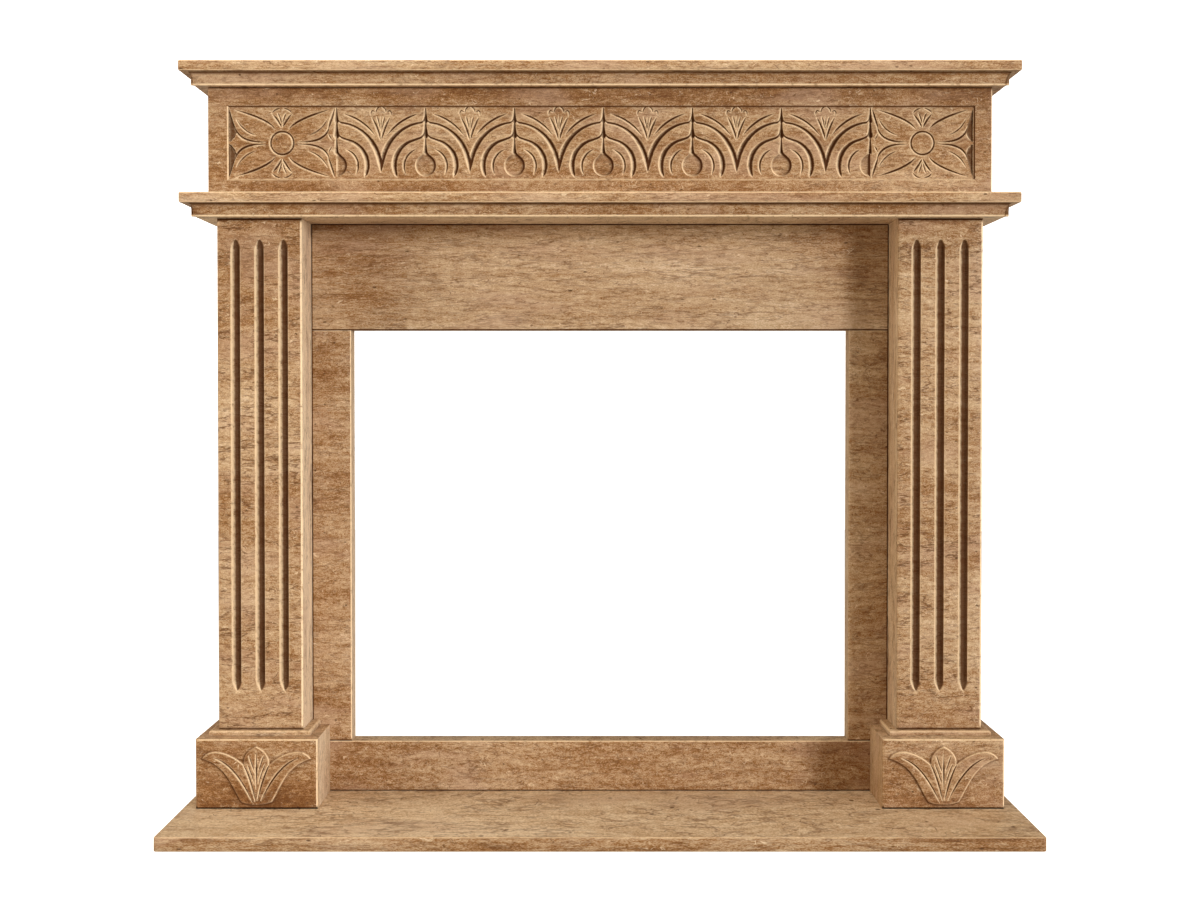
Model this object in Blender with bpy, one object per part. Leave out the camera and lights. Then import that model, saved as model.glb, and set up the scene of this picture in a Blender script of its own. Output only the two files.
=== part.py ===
"""Fireplace mantel of honed travertine.

A hearth slab carries two plinths with a raised leaf, a cap and a fluted pilaster on each, and between them
a frame of four flat panels round the firebox. Above lie a hollow moulding, a shelf, a frieze with a carved
band, a second moulding and the top shelf. All sizes are in metres. X is to the right, Y goes back to the
wall and Z is up. The origin is on the floor, in the middle of the whole mantel.
"""
import math

import bmesh
import bpy
import numpy as np
from mathutils import Vector
from mathutils.geometry import delaunay_2d_cdt

# Driving sizes: hearth and shelves. Each lip is how far a slab stands out from the pilasters
HEARTH_LIP = 0.058
HEARTH_DEPTH = 0.500
HEARTH_THICK = 0.025
HEARTH_CORNER = 0.006
SHELF_THICK = 0.019
SHELF_LIP = 0.058
SLAB_ARRIS = 0.0025

# Driving sizes: uprights. Their lips are from the pilaster's faces too
PILASTER_WIDTH = 0.1535
PILASTER_DEPTH = 0.190
PILASTER_HEIGHT = 0.9253
PILASTERS_APART = 1.077
PILASTER_ARRIS = 0.002
PLINTH_HEIGHT = 0.125
PLINTH_LIP = 0.0325
PLINTH_FRONT_LIP = 0.050
PLINTH_ARRIS = 0.003
CAP_THICK = 0.0092
CAP_LIP = 0.015
CAP_ROUND = 0.004

# Driving sizes: mouldings and frieze
LOWER_MOULDING_HEIGHT = 0.0235
UPPER_MOULDING_HEIGHT = 0.0235
MOULDING_LIP = 0.035
MOULDING_FLARE = 0.0085
MOULDING_FILLET = 0.004
FRIEZE_HEIGHT = 0.1905
FRIEZE_LIP = 0.013
FRIEZE_ARRIS = 0.0015

# Driving sizes: the frame of panels round the firebox
INFILL_THICK = 0.060
LEG_WIDTH = 0.074
BASE_HEIGHT = 0.094
HEADER_HEIGHT = 0.1975
INFILL_ARRIS = 0.001

# Driving sizes: flutes
FLUTES = 3
FLUTE_SPACING = 0.0432
FLUTE_HALF_WIDTH = 0.008
FLUTE_DEPTH = 0.008
FLUTE_POINT = 0.024
FLUTE_ABOVE_FOOT = 0.070
FLUTE_BELOW_HEAD = 0.037

# Driving sizes: the carved band of the frieze
BAND_FROM_LEFT = 0.035
BAND_FROM_RIGHT = 0.031
BAND_ABOVE_FOOT = 0.0245
BAND_HEIGHT = 0.133
BAND_SINK = 0.002
LEFT_ROSETTE_WIDTH = 0.196
RIGHT_ROSETTE_WIDTH = 0.188
BAYS = 6
GROUND_DEPTH = 0.0035
GROUND_BANK = 0.0008
BULB_BANK = 0.0022
DEEP_CUT = 0.004
LINE_CUT = 0.0022
VEIN_CUT = 0.0014

# Driving sizes: the leaf of the plinths
LEAF_HEIGHT = 0.004
LEAF_BANK = 0.002

# Touching stones keep this joint between their faces
JOINT = 0.0003

# Places worked out from the driving sizes
BACK = HEARTH_DEPTH / 2
INNER = PILASTERS_APART / 2
OUTER = INNER + PILASTER_WIDTH
PILASTER_FRONT = BACK - PILASTER_DEPTH
INFILL_FRONT = BACK - INFILL_THICK
PLINTH_FOOT = HEARTH_THICK + JOINT
CAP_FOOT = PLINTH_FOOT + PLINTH_HEIGHT + JOINT
PILASTER_FOOT = CAP_FOOT + CAP_THICK + JOINT
PILASTER_HEAD = PILASTER_FOOT + PILASTER_HEIGHT
LOWER_MOULDING_FOOT = PILASTER_HEAD + JOINT
LOWER_SHELF_FOOT = LOWER_MOULDING_FOOT + LOWER_MOULDING_HEIGHT + JOINT
FRIEZE_FOOT = LOWER_SHELF_FOOT + SHELF_THICK + JOINT
UPPER_MOULDING_FOOT = FRIEZE_FOOT + FRIEZE_HEIGHT + JOINT
TOP_SHELF_FOOT = UPPER_MOULDING_FOOT + UPPER_MOULDING_HEIGHT + JOINT

# Colour, roughness and metallic value of the stone
STONE_COLOUR = (0.46, 0.30, 0.175, 1.0)
STONE_ROUGHNESS = 0.55

# How finely curves of the carving are drawn, and how near two of their points may be
STEPS = 7
NEAREST = 0.00005


def arc(centre, radii, start, end, steps=STEPS):
    """Points of an ellipse's arc between two angles in degrees."""
    angles = np.radians(np.linspace(start, end, steps + 1))
    return [(centre[0] + radii[0] * math.cos(a), centre[1] + radii[1] * math.sin(a)) for a in angles]


def bezier(*controls, steps=STEPS):
    """Points of the Bezier curve that the controls give."""
    degree = len(controls) - 1
    points = []
    for t in np.linspace(0.0, 1.0, steps + 1):
        weights = [math.comb(degree, i) * t**i * (1 - t) ** (degree - i) for i in range(degree + 1)]
        points.append(tuple(sum(w * c[axis] for w, c in zip(weights, controls)) for axis in (0, 1)))
    return points


def tapered(width, count):
    """Half widths of a cut that runs to a point at both ends."""
    return [width * (1.0 - abs(2.0 * i / (count - 1) - 1.0) ** 3) for i in range(count)]


class Cut:
    """A groove along a line, with its half width at each point, its depth, and how wide its banks slope."""

    def __init__(self, line, half_widths, depth, bank):
        self.line = np.array(line)
        self.half_widths = np.array(half_widths)
        self.depth = depth
        self.bank = bank

    def sides(self, offsets):
        """The two lines that run beside the middle line at the given offsets."""
        along = np.gradient(self.line, axis=0)
        along /= np.linalg.norm(along, axis=1)[:, None]
        across = np.stack([-along[:, 1], along[:, 0]], axis=1) * np.array(offsets)[:, None]
        return [self.line + across, self.line - across]

    def drawn_lines(self):
        """The lines where the groove's surface folds."""
        return self.sides(self.half_widths) + self.sides(np.maximum(self.half_widths - self.bank, 0.0))

    def height(self, points):
        """How far the groove lowers the face at each point, as a number of zero or less."""
        lowest = np.zeros(len(points))
        for i in range(len(self.line) - 1):
            start, run = self.line[i], self.line[i + 1] - self.line[i]
            share = np.clip((points - start) @ run / (run @ run), 0.0, 1.0)
            distance = np.linalg.norm(points - start - share[:, None] * run, axis=1)
            half_width = self.half_widths[i] + share * (self.half_widths[i + 1] - self.half_widths[i])
            lowest = np.minimum(lowest, -self.depth * np.clip((half_width - distance) / self.bank, 0.0, 1.0))
        return lowest


class Patch:
    """A closed outline, drawn anticlockwise, whose inside is raised, or sunk where the height is negative."""

    def __init__(self, outline, rise, bank):
        self.outline = np.array(outline)
        self.rise = rise
        self.bank = bank

    def inset(self):
        """The outline moved inwards by the width of its bank, with mitred corners."""
        before = self.outline - np.roll(self.outline, 1, axis=0)
        after = np.roll(self.outline, -1, axis=0) - self.outline
        before = before / np.linalg.norm(before, axis=1)[:, None]
        after = after / np.linalg.norm(after, axis=1)[:, None]
        inward = np.stack([-before[:, 1] - after[:, 1], before[:, 0] + after[:, 0]], axis=1)
        stretch = 1.0 + np.sum(before * after, axis=1)
        return self.outline + self.bank * inward / np.maximum(stretch, 0.35)[:, None]

    def drawn_lines(self):
        """The outline and the foot or brow of its bank, each closed."""
        return [np.vstack([ring, ring[:1]]) for ring in (self.outline, self.inset())]

    def height(self, points):
        """How far the patch moves the face at each point."""
        inside = np.zeros(len(points), dtype=bool)
        nearest = np.full(len(points), np.inf)
        for start, end in zip(self.outline, np.roll(self.outline, -1, axis=0)):
            run = end - start
            share = np.clip((points - start) @ run / (run @ run), 0.0, 1.0)
            nearest = np.minimum(nearest, np.linalg.norm(points - start - share[:, None] * run, axis=1))
            crosses = (start[1] > points[:, 1]) != (end[1] > points[:, 1])
            reach = start[0] + run[0] * (points[:, 1] - start[1]) / (run[1] if run[1] else 1.0)
            inside ^= crosses & (points[:, 0] < reach)
        return np.where(inside, self.rise * np.clip(nearest / self.bank, 0.0, 1.0), 0.0)


def relief_height(points, patches, cuts):
    """Height of the carved face at each point: all the patches together, less the deepest of the cuts."""
    height = np.zeros(len(points))
    for patch in patches:
        height += patch.height(points)
    if cuts:
        height += np.min([cut.height(points) for cut in cuts], axis=0)
    return height


def carved_face(left, foot, right, head, patches, cuts):
    """Corners and triangles of a carved rectangle: (x, z, height) and index triples."""
    points = [Vector(p) for p in ((left, foot), (right, foot), (right, head), (left, head))]
    edges = [(0, 1), (1, 2), (2, 3), (3, 0)]
    for feature in patches + cuts:
        for line in feature.drawn_lines():
            first = len(points)
            points += [Vector(p) for p in line]
            edges += [(i, i + 1) for i in range(first, len(points) - 1)]
    flat, _, triangles = delaunay_2d_cdt(points, edges, [], 1, NEAREST)[:3]
    places = np.array([tuple(p) for p in flat])
    heights = relief_height(places, patches, cuts)
    return [(x, z, h) for (x, z), h in zip(places, heights)], triangles


def travertine(name):
    """The stone's material, one for each piece."""
    material = bpy.data.materials.new(name + "_travertine")
    material.use_nodes = True
    shader = material.node_tree.nodes["Principled BSDF"]
    shader.inputs["Base Color"].default_value = STONE_COLOUR
    shader.inputs["Roughness"].default_value = STONE_ROUGHNESS
    shader.inputs["Metallic"].default_value = 0.0
    return material


def stone(name, body, location):
    """Makes the object of one piece from its bmesh, which is in the piece's own frame."""
    bmesh.ops.recalc_face_normals(body, faces=body.faces)
    mesh = bpy.data.meshes.new(name)
    body.to_mesh(mesh)
    body.free()
    mesh.materials.append(travertine(name))
    piece = bpy.data.objects.new(name, mesh)
    piece.location = location
    bpy.context.scene.collection.objects.link(piece)
    return piece


def prism(plan, height):
    """An upright prism on a plan of (x, y) points, with its foot at Z = 0."""
    body = bmesh.new()
    foot = [body.verts.new((x, y, 0.0)) for x, y in plan]
    head = [body.verts.new((x, y, height)) for x, y in plan]
    body.faces.new(foot)
    body.faces.new(head)
    for i in range(len(plan)):
        j = (i + 1) % len(plan)
        body.faces.new((foot[i], foot[j], head[j], head[i]))
    bmesh.ops.recalc_face_normals(body, faces=body.faces)
    return body


def ease(body, width, chosen, segments=2):
    """Rounds the chosen edges of a body; chosen is a test of an edge's two ends."""
    edges = [edge for edge in body.edges if chosen(edge.verts[0].co, edge.verts[1].co)]
    bmesh.ops.bevel(body, geom=edges, offset=width, segments=segments, profile=0.5, affect="EDGES")


def upright(a, b):
    """True of an edge that stands upright."""
    return abs(a.x - b.x) + abs(a.y - b.y) < NEAREST


def slab(name, half_width, front, back, foot, thick, arris, corner=None):
    """A slab with softened edges; its back stays square. A corner radius rounds its two front corners more."""
    plan = [(-half_width, front), (half_width, front), (half_width, back), (-half_width, back)]
    body = prism(plan, thick)
    if corner:
        ease(body, corner, lambda a, b: upright(a, b) and a.y < back - NEAREST, 3)
        ease(body, arris, lambda a, b: not upright(a, b) and min(a.y, b.y) < back - NEAREST)
    else:
        ease(body, arris, lambda a, b: min(a.y, b.y) < back - NEAREST)
    return stone(name, body, (0.0, 0.0, foot))


def moulding(name, foot, height):
    """A hollow moulding round the front and both ends, widest at its top, with mitred corners."""
    hollow = arc((MOULDING_FLARE, MOULDING_FILLET), (MOULDING_FLARE, height - MOULDING_FILLET), 180, 90)
    body = bmesh.new()
    rings = []
    for lip, level in [(0.0, 0.0)] + hollow:
        side = OUTER + MOULDING_LIP + lip
        front = PILASTER_FRONT - MOULDING_LIP - lip
        plan = ((-side, front), (side, front), (side, BACK), (-side, BACK))
        rings.append([body.verts.new((x, y, level)) for x, y in plan])
    body.faces.new(rings[0])
    body.faces.new(rings[-1])
    for lower, higher in zip(rings, rings[1:]):
        for i in range(4):
            j = (i + 1) % 4
            body.faces.new((lower[i], lower[j], higher[j], higher[i]))
    return stone(name, body, (0.0, 0.0, foot))


def carved_block(name, plan, height, arris, patches, cuts, location):
    """A block whose front, the plan's first side, is carved. The front's four edges are eased by the arris."""
    (left, front), (right, _) = plan[:2]
    corners, triangles = carved_face(left + arris, arris, right - arris, height - arris, patches, cuts)
    body = bmesh.new()
    face = [body.verts.new((x, front - h, z)) for x, z, h in corners]
    for a, b, c in triangles:
        body.faces.new((face[a], face[b], face[c]))
    rim = [face[i] for i in corner_indices(corners, left + arris, right - arris, arris, height - arris)]
    plan = [(left, front + arris), (right, front + arris)] + plan[2:]
    foot = [body.verts.new((x, y, 0.0)) for x, y in plan]
    head = [body.verts.new((x, y, height)) for x, y in plan]
    outer = [foot[0], foot[1], head[1], head[0]]
    for i in range(4):
        j = (i + 1) % 4
        body.faces.new((rim[i], rim[j], outer[j], outer[i]))
    for i in range(1, len(plan)):
        j = (i + 1) % len(plan)
        body.faces.new((foot[i], foot[j], head[j], head[i]))
    body.faces.new(foot)
    body.faces.new(head)
    return stone(name, body, location)


def corner_indices(corners, left, right, foot, head):
    """Where the four corners of a carved face stand in its list, from the left foot round to the left head."""
    places = np.array([corner[:2] for corner in corners])
    wanted = ((left, foot), (right, foot), (right, head), (left, head))
    return [int(np.argmin(np.linalg.norm(places - np.array(place), axis=1))) for place in wanted]


def block_plan(lip, front_lip, side):
    """Plan of a plinth or cap about its pilaster's middle. It is cut back where the infill panels pass."""
    half = PILASTER_WIDTH / 2
    front = PILASTER_FRONT - front_lip
    notch = INFILL_FRONT - JOINT
    plan = [(-half - lip, front), (half + lip, front), (half + lip, BACK), (-half, BACK)]
    plan += [(-half, notch), (-half - lip, notch)]
    if side > 0:
        return plan
    mirrored = [(-x, y) for x, y in plan]
    return [mirrored[1], mirrored[0]] + mirrored[:1:-1]


def leaf_carving(half_width, height):
    """The raised leaf of a plinth: an upright leaf between two that curl outwards, with ribs and veins."""
    right = bezier((0.0, 0.053), (0.14, 0.05), (0.258, 0.094), steps=2)
    right += bezier((0.258, 0.094), (0.43, 0.34), (0.50, 0.62), (0.907, 0.716), steps=STEPS)[1:]
    right += bezier((0.907, 0.716), (0.78, 0.92), (0.42, 0.82), (0.215, 0.65), steps=STEPS)[1:]
    right += bezier((0.215, 0.65), (0.235, 0.76), (0.13, 0.86), (0.0, 0.909), steps=5)[1:]
    left = [(-x, z) for x, z in right[-2:0:-1]]

    def placed(line):
        return [(x * half_width, z * height) for x, z in line]

    cuts = []
    for side in (-1, 1):
        rib = bezier((0.70, 0.71), (0.45, 0.70), (0.24, 0.47), (0.055, 0.10))
        edge = bezier((0.20, 0.62), (0.085, 0.45), (0.012, 0.17))
        vein = bezier((0.14, 0.75), (0.05, 0.67), (0.02, 0.53), steps=3)
        for line, depth in ((rib, LINE_CUT), (edge, LINE_CUT), (vein, VEIN_CUT)):
            line = placed([(side * x, z) for x, z in line])
            cuts.append(Cut(line, tapered(depth, len(line)), depth, depth))
    middle = placed([(0.0, 0.86), (0.0, 0.63), (0.0, 0.40)])
    cuts.append(Cut(middle, tapered(VEIN_CUT, len(middle)), VEIN_CUT, VEIN_CUT))
    return [Patch(placed(right + left), LEAF_HEIGHT, LEAF_BANK)], cuts


def plinth(side):
    """A plinth block, carved with a leaf on its front."""
    half = PILASTER_WIDTH / 2 + PLINTH_LIP
    patches, cuts = leaf_carving(half, PLINTH_HEIGHT)
    name = "plinth_right" if side > 0 else "plinth_left"
    location = (side * (INNER + PILASTER_WIDTH / 2), 0.0, PLINTH_FOOT)
    plan = block_plan(PLINTH_LIP, PLINTH_FRONT_LIP, side)
    return carved_block(name, plan, PLINTH_HEIGHT, PLINTH_ARRIS, patches, cuts, location)


def plinth_cap(side):
    """The thin slab on a plinth, rounded along its upper edge."""
    body = prism(block_plan(CAP_LIP, CAP_LIP, side), CAP_THICK)

    def on_show(a, b):
        return min(a.z, b.z) > CAP_THICK - NEAREST and min(a.y, b.y) < INFILL_FRONT - INFILL_THICK

    ease(body, CAP_ROUND, on_show, 3)
    name = "plinth_cap_right" if side > 0 else "plinth_cap_left"
    return stone(name, body, (side * (INNER + PILASTER_WIDTH / 2), 0.0, CAP_FOOT))


def flute(middle):
    """One flute: a long hollow that ends in a point above and below."""
    foot, head = FLUTE_ABOVE_FOOT, PILASTER_HEIGHT - FLUTE_BELOW_HEAD
    ends = [FLUTE_POINT * i / 4 for i in range(5)]
    levels = [foot + rise for rise in ends] + [head - rise for rise in reversed(ends)]
    widths = [FLUTE_HALF_WIDTH * (1.0 - (1.0 - rise / FLUTE_POINT) ** 2) for rise in ends]
    line = [(middle, level) for level in levels]
    return Cut(line, widths + widths[::-1], FLUTE_DEPTH, FLUTE_HALF_WIDTH)


def pilaster(side):
    """A fluted pilaster."""
    half = PILASTER_WIDTH / 2
    plan = [(-half, PILASTER_FRONT), (half, PILASTER_FRONT), (half, BACK), (-half, BACK)]
    cuts = [flute((i - (FLUTES - 1) / 2) * FLUTE_SPACING) for i in range(FLUTES)]
    name = "pilaster_right" if side > 0 else "pilaster_left"
    location = (side * (INNER + half), 0.0, PILASTER_FOOT)
    return carved_block(name, plan, PILASTER_HEIGHT, PILASTER_ARRIS, [], cuts, location)


def infill_panel(name, left, right, foot, head):
    """One flat panel of the frame round the firebox, with its front edges just broken."""
    plan = [(left, INFILL_FRONT), (right, INFILL_FRONT), (right, BACK), (left, BACK)]
    body = prism(plan, head - foot)
    ease(body, INFILL_ARRIS, lambda a, b: max(a.y, b.y) < INFILL_FRONT + NEAREST, 1)
    return stone(name, body, (0.0, 0.0, foot))


def infill():
    """The base, the two legs and the header round the firebox, between the pilasters."""
    side = INNER - JOINT
    opening = INNER - LEG_WIDTH
    base_head = PLINTH_FOOT + BASE_HEIGHT
    header_foot = PILASTER_HEAD - HEADER_HEIGHT
    infill_panel("infill_base", -side, side, PLINTH_FOOT, base_head)
    infill_panel("infill_leg_left", -side, -opening, base_head + JOINT, header_foot - JOINT)
    infill_panel("infill_leg_right", opening, side, base_head + JOINT, header_foot - JOINT)
    infill_panel("infill_header", -side, side, header_foot, PILASTER_HEAD)


def bulb(place, reach, sides):
    """The sunk ground at the foot of a spire, round and drawn in to a neck. The end ones have one side only."""
    half = arc((0.0, 0.198), (0.232, 0.147), -90, 48) + [(0.055, 0.36), (0.025, 0.42)]
    if len(sides) == 2:
        shares = half + [(-s, t) for s, t in half[:0:-1]]
    else:
        shares = half + [(0.0, half[-1][1])]
        shares = [(sides[0] * s, t) for s, t in shares][:: sides[0]]
    outline = [(place + s * reach, BAND_ABOVE_FOOT + t * BAND_HEIGHT) for s, t in shares]
    return Patch(outline, -GROUND_DEPTH, BULB_BANK)


def spire(place, reach):
    """The three thorns that stand one on another over a bulb, each wide at its foot."""
    cuts = []
    for foot, head, width in ((0.36, 0.60, 0.035), (0.585, 0.81, 0.06), (0.795, 0.952, 0.05)):
        levels = [foot - 0.02, foot, 0.5 * (foot + head), head]
        line = [(place, BAND_ABOVE_FOOT + level * BAND_HEIGHT) for level in levels]
        widths = [share * width * reach for share in (0.0, 1.0, 0.5, 0.1)]
        cuts.append(Cut(line, widths, GROUND_DEPTH, DEEP_CUT))
    return cuts


def half_bay(spire_place, middle):
    """The lines of one half bay, from its spire to its middle: nested leaves round the spire, and half of the
    palmette. Shares run from 0 at the spire to 1 at the bay's middle, and from the band's foot to its head."""
    outer_leaf = [(0.03, 0.62), (0.085, 0.58), (0.16, 0.562)] + arc((0.124, 0.200), (0.5725, 0.35), 75, -27)
    inner_leaf = arc((0.09, 0.189), (0.394, 0.237), 75, -32, 5)
    great_leaf = [(0.03, 0.82)] + bezier((0.085, 0.775), (0.47, 0.75), (0.92, 0.53), (0.985, 0.10))
    bract = bezier((0.10, 0.905), (0.651, 0.811), (0.9675, 0.535), steps=4)
    palmette = bezier((0.995, 0.53), (0.925, 0.71), (0.7575, 0.865), steps=3)
    crest = bezier((0.7575, 0.865), (0.81, 0.945), (0.99, 0.965), steps=3)
    vein = bezier((0.90, 0.90), (0.96, 0.83), (0.99, 0.73), steps=2)
    cuts = []
    shapes = ((outer_leaf, DEEP_CUT), (great_leaf, DEEP_CUT), (inner_leaf, LINE_CUT), (bract, LINE_CUT))
    shapes += ((palmette, LINE_CUT), (crest, VEIN_CUT), (vein, VEIN_CUT))
    for line, depth in shapes:
        placed = [
            (spire_place + s * (middle - spire_place), BAND_ABOVE_FOOT + t * BAND_HEIGHT) for s, t in line
        ]
        cuts.append(Cut(placed, tapered(depth, len(placed)), depth, depth))
    return cuts


def rosette(middle, half_width, outer_side):
    """A rosette panel: a ringed boss, four corner petals, two buds, two side lobes, and the ground that is
    sunk beyond the petals on the side away from the bays."""
    half_height = BAND_HEIGHT / 2
    centre = BAND_ABOVE_FOOT + half_height

    def placed(line, across, up):
        return [(middle + across * s * half_width, centre + up * t * half_height) for s, t in line]

    cuts = []
    for across in (-1, 1):
        for up in (-1, 1):
            petal_side = bezier((0.26, 0.02), (0.82, 0.0), (0.90, 0.33), (0.975, 0.90), steps=6)
            petal_top = bezier((0.12, 0.36), (0.245, 0.66), (0.92, 0.92), steps=5)
            petal_vein = bezier((0.45, 0.20), (0.735, 0.30), (0.847, 0.69), steps=4)
            lobe = [(0.87, 0.33), (0.935, 0.17), (0.975, 0.02)]
            bud = bezier((0.006, 0.41), (0.06, 0.60), (0.185, 0.80), steps=3)
            bud_crest = bezier((0.185, 0.80), (0.14, 0.92), (0.01, 0.945), steps=2)
            shapes = [(petal_side, LINE_CUT), (petal_top, LINE_CUT), (petal_vein, VEIN_CUT)]
            shapes += [(lobe, VEIN_CUT), (bud, LINE_CUT), (bud_crest, VEIN_CUT)]
            for line, depth in shapes:
                line = placed(line, across, up)
                cuts.append(Cut(line, tapered(depth, len(line)), depth, depth))
    ring = arc((middle, centre), (0.30 * half_height, 0.30 * half_height), 0, 360, 16)
    cuts.append(Cut(ring, [LINE_CUT] * len(ring), LINE_CUT, LINE_CUT))
    for up in (-1, 1):
        ground = bezier((0.80, 0.10), (0.87, 0.25), (0.91, 0.45), (0.985, 0.93), steps=4)[1:]
        ground = [(0.975, 0.04)] + ground
        ground = placed(ground, outer_side, up)
        if outer_side * up < 0:
            ground = ground[::-1]
        cuts.append(Patch(ground, -GROUND_DEPTH, GROUND_BANK))
    return cuts


def frieze():
    """The frieze block with its carved band: a rosette at each end and the bays of leaves between them."""
    half = OUTER + FRIEZE_LIP
    front = PILASTER_FRONT - FRIEZE_LIP
    left, right = BAND_FROM_LEFT - half, half - BAND_FROM_RIGHT
    foot, head = BAND_ABOVE_FOOT, BAND_ABOVE_FOOT + BAND_HEIGHT
    first, last = left + LEFT_ROSETTE_WIDTH, right - RIGHT_ROSETTE_WIDTH
    bay = (last - first) / BAYS
    patches = [Patch([(left, foot), (right, foot), (right, head), (left, head)], -BAND_SINK, BAND_SINK / 2)]
    cuts = []
    for i in range(BAYS + 1):
        place = first + i * bay
        sides = [side for side in (-1, 1) if 0 <= i + (side - 1) / 2 < BAYS]
        cuts.append(bulb(place, bay / 2, sides))
        cuts += spire(place, bay / 2)
    for i in range(BAYS):
        middle = first + (i + 0.5) * bay
        for side in (-1, 1):
            cuts += half_bay(middle + side * bay / 2, middle)
        stem = [(middle, foot + share * BAND_HEIGHT) for share in (0.62, 0.76, 0.90)]
        cuts.append(Cut(stem, tapered(VEIN_CUT, len(stem)), VEIN_CUT, VEIN_CUT))
    for start, end, outer_side in ((left, first, -1), (last, right, 1)):
        cuts += rosette((start + end) / 2, (end - start) / 2, outer_side)
    plan = [(-half, front), (half, front), (half, BACK), (-half, BACK)]
    return carved_block("frieze", plan, FRIEZE_HEIGHT, FRIEZE_ARRIS, patches, cuts, (0.0, 0.0, FRIEZE_FOOT))


def clear_scene():
    """Removes what the scene holds before the mantel is made."""
    for thing in list(bpy.data.objects):
        bpy.data.objects.remove(thing, do_unlink=True)


def build():
    """Makes all the stones, from the floor up."""
    clear_scene()
    hearth_side = OUTER + HEARTH_LIP
    slab("hearth", hearth_side, -HEARTH_DEPTH / 2, BACK, 0.0, HEARTH_THICK, SLAB_ARRIS, HEARTH_CORNER)
    for side in (-1, 1):
        plinth(side)
        plinth_cap(side)
        pilaster(side)
    infill()
    moulding("lower_moulding", LOWER_MOULDING_FOOT, LOWER_MOULDING_HEIGHT)
    shelf_side, shelf_front = OUTER + SHELF_LIP, PILASTER_FRONT - SHELF_LIP
    slab("lower_shelf", shelf_side, shelf_front, BACK, LOWER_SHELF_FOOT, SHELF_THICK, SLAB_ARRIS)
    frieze()
    moulding("upper_moulding", UPPER_MOULDING_FOOT, UPPER_MOULDING_HEIGHT)
    slab("top_shelf", shelf_side, shelf_front, BACK, TOP_SHELF_FOOT, SHELF_THICK, SLAB_ARRIS)


build()
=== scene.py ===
"""Looks of a travertine fireplace mantel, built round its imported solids.

Every stone is replaced by a finer mesh that keeps the solid's form: the same block with softened, slightly
nicked arrises, and for the carved ones the same carving with rounded banks and swelling leaves. Sizes are in
metres, X to the right, Y back to the wall, Z up.
"""
import math

import bmesh
import bpy
import numpy as np
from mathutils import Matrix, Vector
from mathutils.geometry import delaunay_2d_cdt


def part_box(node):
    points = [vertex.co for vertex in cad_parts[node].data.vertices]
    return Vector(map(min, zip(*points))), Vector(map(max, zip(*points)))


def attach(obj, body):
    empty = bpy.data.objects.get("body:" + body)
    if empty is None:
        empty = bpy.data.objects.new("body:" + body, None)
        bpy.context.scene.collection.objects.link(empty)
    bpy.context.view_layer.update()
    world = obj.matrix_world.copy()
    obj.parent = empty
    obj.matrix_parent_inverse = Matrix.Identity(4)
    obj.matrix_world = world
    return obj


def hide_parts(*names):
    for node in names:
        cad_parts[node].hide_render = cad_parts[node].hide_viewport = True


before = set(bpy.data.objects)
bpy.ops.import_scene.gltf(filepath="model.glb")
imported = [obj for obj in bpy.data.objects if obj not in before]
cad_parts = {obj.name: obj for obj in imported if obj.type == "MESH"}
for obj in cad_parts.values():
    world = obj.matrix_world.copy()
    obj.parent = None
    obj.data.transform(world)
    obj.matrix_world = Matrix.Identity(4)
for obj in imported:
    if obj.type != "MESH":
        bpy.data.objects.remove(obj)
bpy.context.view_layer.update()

# The camera that the photograph was taken with, as fitted to the stones' corners
CAMERA_PLACE = (0.0, -3.960, 0.762)
CAMERA_PITCH = math.radians(-1.35)
CAMERA_LENS = 66.66
CAMERA_SENSOR = 36.0

# The carved band of the frieze, from the frieze block's own foot and ends
BAND_FROM_LEFT = 0.035
BAND_FROM_RIGHT = 0.031
BAND_ABOVE_FOOT = 0.0245
BAND_HEIGHT = 0.133
BAND_SINK = 0.002
BAND_BANK = 0.0016
LEFT_ROSETTE_WIDTH = 0.196
RIGHT_ROSETTE_WIDTH = 0.188
BAYS = 6
GROUND_DEPTH = 0.0045
BULB_BANK = 0.0028
DEEP_CUT = 0.0049
LINE_CUT = 0.0024
VEIN_CUT = 0.0017
STEEPNESS = 1.4
SPIRE_STEEPNESS = 1.7

# The leaf of the plinths and the flutes of the pilasters
LEAF_HEIGHT = 0.004
LEAF_BANK = 0.002
FLUTES = 3
FLUTE_SPACING = 0.0432
FLUTE_HALF_WIDTH = 0.008
FLUTE_DEPTH = 0.0095
FLUTE_POINT = 0.022
FLUTE_ABOVE_FOOT = 0.070
FLUTE_BELOW_HEAD = 0.037

# Mouldings
MOULDING_FLARE = 0.0085
MOULDING_FILLET = 0.004

# How finely the stones are meshed
LINE_PITCH = 0.0014
NEAREST_POINTS = 0.0009
FIELD_PITCH = 0.0026
EDGE_PITCH = 0.004
SHARP_ANGLE = math.radians(38)

# The leaves' swell: how far and how deep they sink towards a cut, by its width
SKIRT_WIDTH = 0.0045
SKIRT_DEPTH = 0.16

# The side the light comes from, right and up. Brows and walls that face it are painted bright, a painted
# highlight on top of their wear, and walls that face away are painted dark, a painted shade on top of their dirt.
# Wear and painted highlight of the brow of a cut, of a patch's rim and of a block's arris: where it faces neither
# way, how much more where it faces the light, and the least
LIGHT_SIDE = np.array((0.88, 0.47))
CUT_WEAR_AND_HIGHLIGHT = (0.35, 0.85, 0.25)
RIM_WEAR_AND_HIGHLIGHT = (0.45, 0.75, 0.10)
ARRIS_WEAR_AND_HIGHLIGHT = (0.45, 0.70, 0.10)
BROW_WIDTH = 0.0011
SUNK_BROW = 1.9

# How far a wall faces the light where its painted highlight starts, and over how much more it is painted fully
# lit
LIT_HOLLOW = (0.60, 0.14)
LIT_CUT = (0.28, 0.30)

# A point so near an outline lies on it, how far beside it a patch has effect, and how far in its fill of painted
# shade starts
ON_RIM = 1e-5
PATCH_REACH = 0.004
FILL_INSET = 0.0008
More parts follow.
